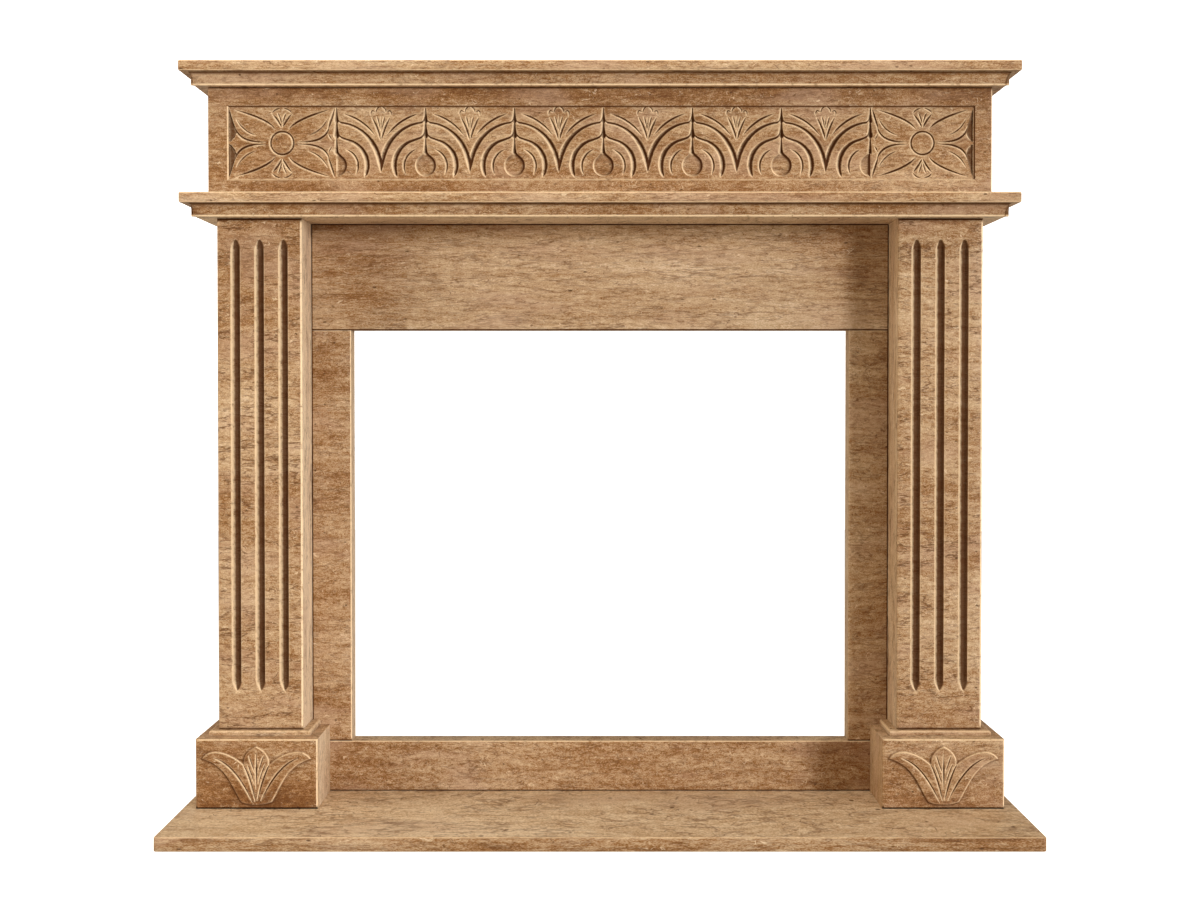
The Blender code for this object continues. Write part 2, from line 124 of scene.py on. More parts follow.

# Dirt and painted shade: the depth where they start, how much deeper they are thick, and their reach beside a
# raised patch
DIRT_AND_SHADE_FROM = 0.0003
DIRT_AND_SHADE_OVER = 0.0015
DIRT_AND_SHADE_BESIDE = 0.0014

# Wear along an arris
NICK_SPACING = 0.12
NICK_HALF_LENGTHS = (0.002, 0.007)
NICK_DEPTH = 0.0009
EDGE_WOBBLE = 0.00012
ARRIS_STEPS = 4

# Open joints, the slabs and the two ends
JOINT = 0.0003
HEARTH_THICK = 0.025
HEARTH_CORNER = 0.006
SHELF_THICK = 0.019
SHELF_ARRIS = 0.0022
ENDS = ((-1, "left"), (1, "right"))


def arc(centre, radii, start, end, steps=24):
    """Points of an ellipse's arc between two angles in degrees."""
    angles = np.radians(np.linspace(start, end, steps + 1))
    return [(centre[0] + radii[0] * math.cos(a), centre[1] + radii[1] * math.sin(a)) for a in angles]


def bezier(*controls, steps=18):
    """Points of the Bezier curve that the controls give."""
    degree = len(controls) - 1
    points = []
    for t in np.linspace(0.0, 1.0, steps + 1):
        weights = [math.comb(degree, i) * t**i * (1 - t) ** (degree - i) for i in range(degree + 1)]
        points.append(tuple(sum(w * c[axis] for w, c in zip(weights, controls)) for axis in (0, 1)))
    return points


def tapered(width, count):
    """Half widths of a cut that runs to a point at both ends."""
    return [width * (1.0 - abs(2.0 * i / (count - 1) - 1.0) ** 3) for i in range(count)]


def fine_cut(line, depth):
    """A cut that runs to a point at both ends."""
    return Cut(line, tapered(depth, len(line)))


def swelling(width, line):
    """Half widths of a cut that starts as a fine line, is widest two thirds of the way, and ends in a point."""
    steps = np.linalg.norm(np.diff(np.array(line), axis=0), axis=1)
    way = np.concatenate([[0.0], np.cumsum(steps)]) / steps.sum()
    shares = (0.1, 0.45, 0.62, 1.0, 1.0, 0.7, 0.05)
    return width * np.interp(way, (0.0, 0.12, 0.35, 0.62, 0.82, 0.94, 1.0), shares)


def way_along(line):
    """How far along a line each of its points lies."""
    return np.concatenate([[0.0], np.cumsum(np.linalg.norm(np.diff(line, axis=0), axis=1))])


def resampled(line, values, pitch):
    """A line and the values along it, at even steps of about the pitch."""
    line, values = np.array(line, float), np.array(values, float)
    along = way_along(line)
    count = max(3, int(round(along[-1] / pitch)) + 1)
    even = np.linspace(0.0, along[-1], count)
    places = np.stack([np.interp(even, along, line[:, axis]) for axis in (0, 1)], axis=1)
    return places, np.interp(even, along, values)


def left_of(steps):
    """Unit vectors to the left of a line's steps."""
    steps = steps / np.maximum(np.linalg.norm(steps, axis=1), 1e-9)[:, None]
    return np.stack([-steps[:, 1], steps[:, 0]], axis=1)


def off_segment(points, start, run):
    """Where along a segment each point lies, as a share of its run, and the way there and how long that is."""
    share = np.clip((points - start) @ run / max(run @ run, 1e-12), 0.0, 1.0)
    offset = points - start - share[:, None] * run
    return share, offset, np.linalg.norm(offset, axis=1)


def wear_facing(facing, wear):
    """How worn a brow is, and how bright its painted highlight, where it faces the light by so much."""
    even, gain, least = wear
    return np.clip(even + gain * facing, least, 1.0)


class Cut:
    """A groove along a line. Its walls are steep at the brows and meet in a narrow round bottom."""

    def __init__(self, line, half_widths, steepness=STEEPNESS, hollow=False):
        self.line, self.half_widths = np.array(line), np.array(half_widths)
        if not hollow:
            self.line, self.half_widths = resampled(line, half_widths, LINE_PITCH)
        self.steepness = steepness
        self.hollow = hollow

    def beside(self, shares, beyond=0.0):
        """The lines that run beside the middle line, at shares of the half width on both sides."""
        across = left_of(np.gradient(self.line, axis=0))
        offsets = [side * (share * self.half_widths + beyond) for share in shares for side in (-1, 1)]
        return [self.line + offset[:, None] * across for offset in offsets]

    def crisp_lines(self):
        """The lines that the triangles must follow."""
        return [self.line] + self.beside((0.3, 0.58, 0.8, 0.94, 1.0) if self.hollow else (1.0,))

    def sample_points(self):
        """Points that the mesh needs to show the groove's section."""
        if self.hollow:
            return np.vstack(self.beside((1.0,), 0.0024))
        return np.vstack(self.beside((0.55,)) + self.beside((1.0,), 0.0011) + self.beside((1.0,), 0.003))

    def height(self, points):
        """How far the groove lowers the face at each point, how much wear and painted highlight, and how much
        dirt and painted shade lie there.
        """
        lowest, worn_and_lit, shaded = np.zeros((3, len(points)))
        widest = self.half_widths.max()
        reach = widest + 3 * SKIRT_WIDTH
        low, high = self.line.min(axis=0) - reach, self.line.max(axis=0) + reach
        inside = np.all((points > low) & (points < high), axis=1)
        near = points[inside]
        if not len(near):
            return lowest, worn_and_lit, shaded
        depth, skirt, facing, wall = np.zeros((4, len(near)))
        away = np.full(len(near), np.inf)
        for i in range(len(self.line) - 1):
            start, run = self.line[i], self.line[i + 1] - self.line[i]
            share, offset, distance = off_segment(near, start, run)
            half_width = self.half_widths[i] + share * (self.half_widths[i + 1] - self.half_widths[i])
            across = np.clip(distance / np.maximum(half_width, 1e-6), 0.0, 1.0)
            turned = -(offset @ LIGHT_SIDE) / np.maximum(distance, 0.0004)
            if self.hollow:
                section = np.sqrt(1.0 - across**2) * half_width / widest
            else:
                section = (1.0 - across**1.5) * half_width
                beyond = np.maximum(distance - half_width, 0.0) / SKIRT_WIDTH
                skirt = np.maximum(skirt, half_width * np.exp(-(beyond**2)))
            wall = np.where(section > depth, turned * across, wall)
            depth = np.maximum(depth, section)
            gap = np.abs(distance - half_width) + (half_width < 0.0006)
            facing = np.where(gap < away, turned, facing)
            away = np.minimum(away, gap)
        lowest[inside] = -self.steepness * depth - (0.0 if self.hollow else SKIRT_DEPTH * skirt)
        # Brows that face the light and walls turned to it are painted bright: wear with a painted highlight
        brow = np.exp(-((away / BROW_WIDTH) ** 2)) * wear_facing(facing, CUT_WEAR_AND_HIGHLIGHT)
        bright_from, over = LIT_HOLLOW if self.hollow else LIT_CUT
        lit = np.clip((wall - bright_from) / over, 0.0, 1.0) * (depth > 0)
        worn_and_lit[inside] = np.maximum(brow, lit)
        # Dark by depth, strongest on the walls turned away from the light: dirt with painted shade
        depth_dark = np.clip((self.steepness * depth - DIRT_AND_SHADE_FROM) / DIRT_AND_SHADE_OVER, 0.0, 1.0)
        if self.hollow:
            shaded[inside] = depth_dark * np.clip((0.64 - wall) / 0.25, 0.0, 0.92)
        else:
            shaded[inside] = depth_dark * np.clip(1.1 - 1.7 * wall, 0.0, 1.0)
        return lowest, worn_and_lit, shaded


class Patch:
    """A closed outline, drawn anticlockwise, whose inside is raised, or sunk where the rise is negative."""

    def __init__(self, outline, rise, bank, fill=0.0):
        ring = np.vstack([outline, outline[:1]])
        self.outline = resampled(ring, np.zeros(len(ring)), LINE_PITCH)[0][:-1]
        self.rise = rise
        self.bank = bank
        self.fill = fill

    def crisp_lines(self):
        """The lines that the triangles must follow."""
        return [np.vstack([self.outline, self.outline[:1]])]

    def sample_points(self):
        """Points that the mesh needs to show the bank's section."""
        inward = left_of(np.roll(self.outline, -1, axis=0) - np.roll(self.outline, 1, axis=0))
        steps = (-0.001, 0.5 * self.bank, self.bank, self.bank + 0.0014)
        return np.vstack([self.outline + step * inward for step in steps])

    def height(self, points):
        """How far the patch moves the face at each point, how much wear and painted highlight, and how much dirt
        and painted shade lie there.
        """
        height, worn_and_lit, shaded = np.zeros((3, len(points)))
        low, high = self.outline.min(axis=0) - PATCH_REACH, self.outline.max(axis=0) + PATCH_REACH
        close = np.all((points > low) & (points < high), axis=1)
        near = points[close]
        inside = np.zeros(len(near), dtype=bool)
        gap, inward = np.full(len(near), np.inf), np.zeros(len(near))
        for start, end in zip(self.outline, np.roll(self.outline, -1, axis=0)):
            run = end - start
            share, offset, distance = off_segment(near, start, run)
            on_rim = (np.array((-run[1], run[0])) / np.linalg.norm(run)) @ LIGHT_SIDE
            turned = (offset @ LIGHT_SIDE) / np.maximum(distance, ON_RIM)
            inward = np.where(distance < gap, np.where(distance < ON_RIM, on_rim, turned), inward)
            gap = np.minimum(gap, distance)
            crosses = (start[1] > near[:, 1]) != (end[1] > near[:, 1])
            reach = start[0] + run[0] * (near[:, 1] - start[1]) / (run[1] if run[1] else 1.0)
            inside ^= crosses & (near[:, 0] < reach)
        within = inside | (gap < ON_RIM)
        facing = np.where(within, inward, -inward) * (-1.0 if self.rise > 0 else 1.0)
        share = np.clip(gap / self.bank, 0.0, 1.0)
        if self.rise > 0:
            eased = share * (1.5 - 0.5 * share**2)
            brow_gap = np.where(within, np.abs(gap - self.bank), np.inf) / BROW_WIDTH
            local_dirt_and_shade = np.exp(-((gap / DIRT_AND_SHADE_BESIDE) ** 2)) * np.where(inside, 0.7, 1.0)
        else:
            eased = 1.0 - (1.0 - share) ** 1.6
            brow_gap = np.where(within, gap, np.inf) / (BROW_WIDTH * SUNK_BROW)
            local_dirt_and_shade = 1.25 * within * np.exp(-(((gap - 0.5 * self.bank) / self.bank) ** 2))
        height[close] = np.where(inside, self.rise * eased, 0.0)
        # Rims that face the light are painted bright: wear with a painted highlight
        worn_and_lit[close] = np.exp(-(brow_gap**2)) * wear_facing(facing, RIM_WEAR_AND_HIGHLIGHT)
        # Banks and feet that face away from the light are painted dark: dirt with painted shade
        local_dirt_and_shade *= np.clip(0.55 - 0.6 * facing, 0.0, 1.0)
        # The fill paints a sunk ground dark throughout, as painted shade
        shaded[close] = np.maximum(local_dirt_and_shade, self.fill * inside * (gap > FILL_INSET))
        return height, worn_and_lit, shaded


def relief(points, patches, cuts):
    """Height, wear with painted highlight, and dirt with painted shade of the carved face at each point. Patches
    add up; of the cuts the deepest counts.
    """
    height, wear, dirt_and_shade = np.zeros((3, len(points)))
    for features, joined in ((patches, np.add), (cuts, np.minimum)):
        moved = np.zeros(len(points))
        for feature in features:
            own, worn_and_lit, shaded = feature.height(points)
            moved = joined(moved, own)
            wear = np.maximum(wear, worn_and_lit)
            dirt_and_shade = np.maximum(dirt_and_shade, shaded)
        height = height + moved
    return height, wear * (1.0 - dirt_and_shade), dirt_and_shade


def leaf_carving(half_width, height):
    """The raised leaf of a plinth: an upright leaf between two that curl outwards, with ribs and veins."""
    right = bezier((0.0, 0.053), (0.14, 0.05), (0.258, 0.094))
    right += bezier((0.258, 0.094), (0.43, 0.34), (0.50, 0.62), (0.907, 0.716))[1:]
    right += bezier((0.907, 0.716), (0.78, 0.92), (0.42, 0.82), (0.215, 0.65))[1:]
    right += bezier((0.215, 0.65), (0.235, 0.76), (0.13, 0.86), (0.0, 0.909))[1:]
    left = [(-x, z) for x, z in right[-2:0:-1]]

    def placed(line):
        return [(x * half_width, z * height) for x, z in line]

    cuts = []
    for side in (-1, 1):
        rib = bezier((0.72, 0.74), (0.45, 0.68), (0.24, 0.44), (0.05, 0.07))
        edge = bezier((0.225, 0.655), (0.11, 0.49), (0.008, 0.09))
        vein = bezier((0.125, 0.78), (0.09, 0.68), (0.015, 0.50))
        low_vein = bezier((0.155, 0.66), (0.10, 0.56), (0.02, 0.33))
        for line, depth in ((rib, LINE_CUT), (edge, LINE_CUT), (vein, VEIN_CUT), (low_vein, VEIN_CUT)):
            cuts.append(fine_cut(placed([(side * x, z) for x, z in line]), 0.85 * depth))
    cuts.append(fine_cut(placed([(0.0, 0.87), (0.0, 0.55), (0.0, 0.20)]), LINE_CUT))
    return [Patch(placed(right + left), LEAF_HEIGHT, LEAF_BANK)], cuts


def flute(middle, height):
    """One flute: a long hollow that ends in a point above and below."""
    foot, head = FLUTE_ABOVE_FOOT, height - FLUTE_BELOW_HEAD
    ends = [FLUTE_POINT * i / 14 for i in range(15)]
    shaft = list(np.linspace(foot + FLUTE_POINT, head - FLUTE_POINT, 120))[1:-1]
    levels = [foot + rise for rise in ends] + shaft + [head - rise for rise in reversed(ends)]
    widths = [FLUTE_HALF_WIDTH * (1.0 - (1.0 - rise / FLUTE_POINT) ** 2) for rise in ends]
    line = [(middle, level) for level in levels]
    widths = widths + [FLUTE_HALF_WIDTH] * len(shaft) + widths[::-1]
    return Cut(line, widths, steepness=FLUTE_DEPTH, hollow=True)


def in_band(line, place, reach):
    """A line given in shares: of the reach sideways from a place, and of the band's height up from its foot."""
    return [(place + s * reach, BAND_ABOVE_FOOT + t * BAND_HEIGHT) for s, t in line]


def bulb(place, reach, sides):
    """The sunk ground at the foot of a spire, round and drawn in to a neck. The end ones have one side only."""
    half = arc((0.0, 0.198), (0.232, 0.147), -90, 48) + [(0.055, 0.36), (0.025, 0.42)]
    if len(sides) == 2:
        shares = half + [(-s, t) for s, t in half[:0:-1]]
    else:
        shares = half + [(0.0, half[-1][1])]
        shares = [(sides[0] * s, t) for s, t in shares][:: sides[0]]
    return Patch(in_band(shares, place, reach), -GROUND_DEPTH, BULB_BANK)


def spire(place, reach):
    """The three thorns that stand one on another over a bulb, each wide at its foot."""
    cuts = []
    for foot, head, width in ((0.375, 0.62, 0.050), (0.60, 0.82, 0.068), (0.80, 0.965, 0.058)):
        line = in_band([(0.0, level) for level in (foot - 0.02, foot, 0.5 * (foot + head), head)], place, reach)
        widths = [share * width * reach for share in (0.1, 1.0, 0.55, 0.32)]
        cuts.append(Cut(line, widths, steepness=SPIRE_STEEPNESS))
    return cuts


def half_bay(spire_place, middle):
    """The lines of one half bay, from its spire to its middle: nested leaves round the spire, and half of the
    palmette. Shares run from 0 at the spire to 1 at the bay's middle, and from the band's foot to its head."""
    outer_leaf = bezier((0.015, 0.70), (0.02, 0.61), (0.08, 0.575), (0.16, 0.562), steps=8)
    outer_leaf += arc((0.124, 0.200), (0.5725, 0.35), 75, -27)
    inner_leaf = arc((0.09, 0.189), (0.394, 0.237), 75, -32)
    great_leaf = bezier((0.015, 0.89), (0.02, 0.81), (0.05, 0.79), (0.10, 0.775), steps=8)[:-1]
    great_leaf += bezier((0.10, 0.775), (0.50, 0.75), (0.90, 0.56), (0.985, 0.22)) + [(0.998, 0.10)]
    bract = bezier((0.13, 0.90), (0.60, 0.83), (0.88, 0.59))
    palmette = bezier((0.995, 0.53), (0.94, 0.70), (0.785, 0.86))
    crest = bezier((0.785, 0.86), (0.74, 0.945), (0.83, 0.96), (0.885, 0.90))
    top = bezier((0.885, 0.90), (0.89, 0.985), (0.99, 0.985))
    vein = bezier((0.905, 0.87), (0.955, 0.79), (0.985, 0.68))
    cuts = []
    shapes = ((outer_leaf, DEEP_CUT), (great_leaf, DEEP_CUT), (inner_leaf, LINE_CUT), (bract, LINE_CUT))
    shapes += ((palmette, LINE_CUT), (crest, VEIN_CUT), (top, VEIN_CUT), (vein, VEIN_CUT))
    for line, depth in shapes:
        placed = in_band(line, spire_place, middle - spire_place)
        cuts.append(Cut(placed, swelling(depth, placed)) if depth == DEEP_CUT else fine_cut(placed, depth))
    return cuts


def rosette(middle, half_width, outer_side):
    """A rosette panel: a ringed boss, four corner petals, two buds, two side lobes, and the ground that is
    sunk beyond the petals on the side away from the bays."""
    half_height = BAND_HEIGHT / 2
    centre = BAND_ABOVE_FOOT + half_height

    def placed(line, across, up):
        return [(middle + across * s * half_width, centre + up * t * half_height) for s, t in line]

    cuts = []
    for across in (-1, 1):
        for up in (-1, 1):
            petal_side = bezier((0.24, 0.04), (0.70, -0.02), (0.84, 0.22), (0.87, 0.47))
            petal_edge = bezier((0.845, 0.38), (0.89, 0.58), (0.972, 0.95))
            petal_top = bezier((0.12, 0.36), (0.245, 0.66), (0.92, 0.92))
            petal_vein = bezier((0.45, 0.20), (0.735, 0.30), (0.847, 0.69))
            lobe = [(0.83, 0.30), (0.88, 0.17), (0.935, 0.04)]
            bud = bezier((0.006, 0.41), (0.06, 0.60), (0.185, 0.80))
            bud_crest = bezier((0.185, 0.80), (0.14, 0.92), (0.01, 0.945))
            shapes = [(petal_side, LINE_CUT), (petal_top, LINE_CUT), (petal_vein, VEIN_CUT)]
            if across != outer_side:
                shapes.append((petal_edge, LINE_CUT))
            shapes += [(lobe, VEIN_CUT), (bud, LINE_CUT), (bud_crest, VEIN_CUT)]
            cuts += [fine_cut(placed(line, across, up), depth) for line, depth in shapes]
    ring = arc((middle, centre), (0.31 * half_height, 0.31 * half_height), 0, 360, 48)
    cuts.append(Cut(ring, [0.9 * LINE_CUT] * len(ring)))
    for across in (-1, 1):
        for up in (-1, 1):
            fan = bezier((0.008, 0.50), (0.03, 0.70), (0.085, 0.83))
            cuts.append(fine_cut(placed(fan, across, up), VEIN_CUT))
    for up in (-1, 1):
        ground = [(0.972, 0.03), (0.93, 0.05), (0.88, 0.17), (0.83, 0.29), (0.845, 0.38)]
        ground += [(0.885, 0.55), (0.93, 0.76), (0.972, 0.95)]
        ground = placed(ground, outer_side, up)
        if outer_side * up < 0:
            ground = ground[::-1]
        # The sunk ground is painted dark throughout by its fill, as painted shade
        cuts.append(Patch(ground, -GROUND_DEPTH, 0.001, fill=0.75))
    return cuts


def frieze_carving(left_end, right_end):
    """The carved band: a rosette at each end and the bays of leaves between them."""
    left, right = left_end + BAND_FROM_LEFT, right_end - BAND_FROM_RIGHT
    foot, head = BAND_ABOVE_FOOT, BAND_ABOVE_FOOT + BAND_HEIGHT
    first, last = left + LEFT_ROSETTE_WIDTH, right - RIGHT_ROSETTE_WIDTH
    bay = (last - first) / BAYS
    patches = [Patch([(left, foot), (right, foot), (right, head), (left, head)], -BAND_SINK, BAND_BANK)]
    cuts = []
    for i in range(BAYS + 1):
        place = first + i * bay
        sides = [side for side in (-1, 1) if 0 <= i + (side - 1) / 2 < BAYS]
        cuts.append(bulb(place, bay / 2, sides))
        cuts += spire(place, bay / 2)
    for i in range(BAYS):
        middle = first + (i + 0.5) * bay
        for side in (-1, 1):
            cuts += half_bay(middle + side * bay / 2, middle)
        cuts.append(fine_cut(in_band([(0.0, 0.62), (0.0, 0.76), (0.0, 0.90)], middle, bay), VEIN_CUT))
    for start, end, outer_side in ((left, first, -1), (last, right, 1)):
        cuts += rosette((start + end) / 2, (end - start) / 2, outer_side)
    return patches, cuts


class Shell:
    """Collects the points and faces of one stone, with what its material needs to know of each."""

    def __init__(self):
        self.points, self.wear, self.dirt_and_shade = [], [], []
        self.faces, self.grains, self.flats = [], [], []

    def add(self, points, wear=0.0, dirt_and_shade=0.0):
        """Adds points and gives their numbers."""
        first = len(self.points)
        self.points += [tuple(map(float, p)) for p in points]
        for store, value in ((self.wear, wear), (self.dirt_and_shade, dirt_and_shade)):
            store += list(np.broadcast_to(value, len(points)).astype(float))
        return list(range(first, len(self.points)))

    def face(self, corners, grain, flat=False):
        """Adds one face. The grain says how the stone's beds lie on it; a flat one keeps sharp edges."""
        self.faces.append(tuple(corners))
        self.grains.append(grain)
        self.flats.append(flat)

    def strip(self, lower, higher, grain):
        """Adds the faces between two rings of as many points."""
        for i in range(len(lower)):
            j = (i + 1) % len(lower)
            self.face((lower[i], lower[j], higher[j], higher[i]), grain)

    def finish(self, node):
        """Makes the object, and lets it stand for the node's solid."""
        body = bmesh.new()
        verts = [body.verts.new(p) for p in self.points]
        grain_layer = body.faces.layers.int.new("grain")
        flat_layer = body.faces.layers.int.new("flat")
        for corners, grain, flat in zip(self.faces, self.grains, self.flats):
            face = body.faces.new([verts[i] for i in corners])
            face[grain_layer] = grain
            face[flat_layer] = int(flat)
            face.smooth = not flat
        many = [face for face in body.faces if len(face.verts) > 4]
        bmesh.ops.triangulate(body, faces=many, quad_method="BEAUTY", ngon_method="BEAUTY")
        bmesh.ops.recalc_face_normals(body, faces=body.faces)
        for edge in body.edges:
            faces = edge.link_faces
            kinds = {face[flat_layer] for face in faces}
            edge.smooth = len(kinds) == 1 and edge.calc_face_angle(0.0) < SHARP_ANGLE
        mesh = bpy.data.meshes.new(node + "_stone")
        body.to_mesh(mesh)
        body.free()
        lay_beds(mesh, node, {"wear": self.wear, "dirt_and_shade": self.dirt_and_shade})
        stone = bpy.data.objects.new(node + "_stone", mesh)
        bpy.context.scene.collection.objects.link(stone)
        mesh.materials.append(travertine(node))
        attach(stone, "root")
        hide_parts(node)


FRONT, SIDE, LEVEL = 0, 1, 2

# Which axes run along, through and across the beds on each kind of face, and how far the beds are drawn out on
# faces that run back from the viewer
BED_AXES = {FRONT: (0, 1, 2), SIDE: (2, 0, 1), LEVEL: (0, 2, 1)}
DEPTHS_SCALE = {FRONT: 1.0, SIDE: 0.9, LEVEL: 0.2}


def read_all(data, key, kind, width=1):
    """One value, or as many as the width, of every item of a mesh's data."""
    values = np.zeros(len(data) * width, kind)
    data.foreach_get(key, values)
    return values


def lay_beds(mesh, node, marks):
    """Gives each face corner its place in the quarried block, Z across the beds and X along them, and how much
    lighter or darker the stone is there, partly painted light and shade by the way each face is turned and where
    shadows fall. It also gives each corner its wear with painted highlight and its dirt with painted shade, of
    which plain flat faces have none."""
    corners = read_all(mesh.loops, "vertex_index", np.int32)
    totals = read_all(mesh.polygons, "loop_total", np.int32)
    grain = np.repeat(read_all(mesh.attributes["grain"].data, "value", np.int32), totals)
    soft = 1 - np.repeat(read_all(mesh.attributes["flat"].data, "value", np.int32), totals)
    at = read_all(mesh.vertices, "co", np.float32, 3).reshape(-1, 3)[corners]
    beds = at.copy()
    for kind, order in BED_AXES.items():
        beds[grain == kind] = at[grain == kind][:, order] * (1.0, 1.0, DEPTHS_SCALE[kind])
    beds[:, 0] *= STRETCH.get(node, 1.0)
    mesh.attributes.new("beds", "FLOAT_VECTOR", "CORNER").data.foreach_set("vector", beds.ravel())
    # Tone by stone and face, with painted light and shade: sides and levels lighter or darker by how light falls
    # on them, and some blotches painted shadow
    tone_and_painted_light = np.array(TONES_AND_PAINTED_LIGHT[node], np.float32)[grain]
    for x, z, wide, high, amount in BLOTCHES_AND_PAINTED_SHADE.get(node, ()):
        blotch_and_shade = np.exp(-(((at[:, 0] - x) / wide) ** 2) - ((at[:, 2] - z) / high) ** 2)
        tone_and_painted_light += amount * blotch_and_shade.astype(np.float32)
    mesh.attributes.new("tone_and_painted_light", "FLOAT", "CORNER").data.foreach_set("value", tone_and_painted_light)
    for key, values in marks.items():
        values = (np.array(values, np.float32)[corners] * soft).astype(np.float32)
        mesh.attributes.new(key, "FLOAT", "CORNER").data.foreach_set("value", values)
    for name in ("grain", "flat"):
        mesh.attributes.remove(mesh.attributes[name])


def nicks(length, seed):
    """A function of the way along an edge: how far small wear and nicks set the edge back there."""
    rng = np.random.default_rng(seed)
    count = max(2, int(length / NICK_SPACING))
    centres = rng.uniform(0.0, length, count)
    spans = rng.uniform(*NICK_HALF_LENGTHS, count)
    depths = NICK_DEPTH * rng.uniform(0.2, 1.0, count) ** 2
    phases = rng.uniform(0.0, 2 * math.pi, 3)

    def set_back(way):
        away = (np.asarray(way)[:, None] - centres) / spans
        bites = (depths * np.clip(1.0 - away**2, 0.0, 1.0)).sum(axis=1)
        wobble = sum(np.sin(np.asarray(way) * f + p) for f, p in zip((31.0, 83.0, 197.0), phases))
        return bites + EDGE_WOBBLE * (1.0 + wobble / 3)

    return set_back


def thinned(points, keep, cell):
    """The points that are not close to a kept point or to an earlier one, by cells of a grid."""
    taken = set(map(tuple, np.floor(np.asarray(keep) / cell).astype(int))) if len(keep) else set()
    chosen = []
    for point, key in zip(points, map(tuple, np.floor(points / cell).astype(int))):
        if key not in taken:
            taken.add(key)
            chosen.append(point)
    return np.array(chosen).reshape(-1, 2)


def field_points(low, high, pitch):
    """Points that fill a rectangle in staggered rows."""
    across = np.arange(low[0] + pitch / 2, high[0] - pitch / 4, pitch)
    rows = []
    for i, level in enumerate(np.arange(low[1] + pitch / 2, high[1] - pitch / 4, pitch * 0.866)):
        row = across + (pitch / 2 if i % 2 else 0.0)
        row = row[row < high[0] - pitch / 4]
        rows.append(np.stack([row, np.full(len(row), level)], axis=1))
    return np.vstack(rows)


def carved_face(low, high, features, field_pitch, dense=None):
    """Points, triangles, and the rim of the mesh of a carved rectangle. Dense is the part that is carved."""
    rim = []
    corners = [(low[0], low[1]), (high[0], low[1]), (high[0], high[1]), (low[0], high[1])]
    for start, end in zip(corners, corners[1:] + corners[:1]):
        run = np.array(end) - start
        count = max(1, int(round(np.linalg.norm(run) / EDGE_PITCH)))
        rim += [tuple(np.array(start) + run * i / count) for i in range(count)]
    points = [np.array(rim)]
    edges = [(i, (i + 1) % len(rim)) for i in range(len(rim))]
    total = len(rim)
    for feature in features:
        for line in feature.crisp_lines():
            edges += [(total + i, total + i + 1) for i in range(len(line) - 1)]
            points.append(line)
            total += len(line)
    fixed = np.vstack(points)
    samples = [feature.sample_points() for feature in features]
    if dense is not None:
        samples.append(field_points(dense[0], dense[1], FIELD_PITCH))
    samples = thinned(np.vstack(samples), fixed, NEAREST_POINTS) if samples else np.zeros((0, 2))
    plain = thinned(field_points(low, high, field_pitch), np.vstack([fixed, samples]), field_pitch * 0.7)
    loose = np.vstack([samples, plain])
    lowest, highest = np.array(low) + NEAREST_POINTS, np.array(high) - NEAREST_POINTS
    loose = loose[np.all((loose > lowest) & (loose < highest), axis=1)]
    everything = [Vector(p) for p in np.vstack([fixed, loose])]
    flat, _, triangles, originals = delaunay_2d_cdt(everything, edges, [], 0, 1e-6)[:4]
    places = np.array([tuple(p) for p in flat])
    kept = {}
    for new, olds in enumerate(originals):
        for old in olds:
            if old < len(rim):
                kept[old] = new
    return places, triangles, [kept[i] for i in range(len(rim))]


DIRECTIONS = {"foot": (0.0, -1.0), "head": (0.0, 1.0), "left": (-1.0, 0.0), "right": (1.0, 0.0)}


def fronted_block(node, arris, seed, joints_and_shade, plan=None, patches=(), cuts=(), dense=None, field_pitch=0.03):
    """A block whose front is carved, with its four front edges rounded and slightly nicked, and their wear given
    a painted highlight where they face the light. Plan gives the points behind the front's two, going round from
    the right; a plain block has two. Jointed edges meet another stone and hold a dark joint with painted shade
    instead of wear, each as much as is given; past one it turns black, a painted contact shadow."""
    low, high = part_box(node)
    front, foot, head = low.y, low.z, high.z
    shell = Shell()
    inner_low, inner_high = (low.x + arris, foot + arris), (high.x - arris, head - arris)
    places, triangles, rim = carved_face(inner_low, inner_high, list(patches) + list(cuts), field_pitch, dense)
    height, wear, dirt_and_shade = relief(places, patches, cuts)
    rise = np.stack([places[:, 0], front - height, places[:, 1]], axis=1)
    numbers = shell.add(rise, wear, dirt_and_shade)
    for triangle in triangles:
        shell.face([numbers[i] for i in triangle], FRONT)
    ring = [numbers[i] for i in rim]
    at = places[rim]
    middle = (np.array(inner_low) + inner_high) / 2
    half = (np.array(inner_high) - inner_low) / 2
    outward = np.where(np.abs(np.abs(at - middle) - half) < 1e-6, np.sign(at - middle), 0.0)
    way = way_along(at)
    set_back = nicks(way[-1], seed)(way)
    joint_dirt_and_shade = np.zeros(len(at))
    for side, local_dirt_and_shade in joints_and_shade.items():
        joint_dirt_and_shade = np.maximum(joint_dirt_and_shade, local_dirt_and_shade * (outward @ np.array(DIRECTIONS[side]) > 0.5))
    # Arrises that face the light are worn with a painted highlight; jointed ones get none
    worn_and_lit = wear_facing(outward @ LIGHT_SIDE, ARRIS_WEAR_AND_HIGHLIGHT) * (joint_dirt_and_shade == 0)
    for step in range(1, ARRIS_STEPS + 1):
        turn = math.radians(90.0 * step / ARRIS_STEPS)
        bite = set_back * math.sin(2 * turn)
        out = arris * math.sin(turn) - bite
        back = arris * (1.0 - math.cos(turn)) + bite
        xz = at + outward * out[:, None]
        rows = np.stack([xz[:, 0], front + back, xz[:, 1]], axis=1)
        following = shell.add(rows, wear=worn_and_lit if step < ARRIS_STEPS else 0.0, dirt_and_shade=joint_dirt_and_shade)
        shell.strip(ring, following, FRONT)
        ring = following
    close_block(shell, ring, at, inner_low, inner_high, plan or [(high.x, high.y), (low.x, high.y)], foot, head)
    shell.finish(node)


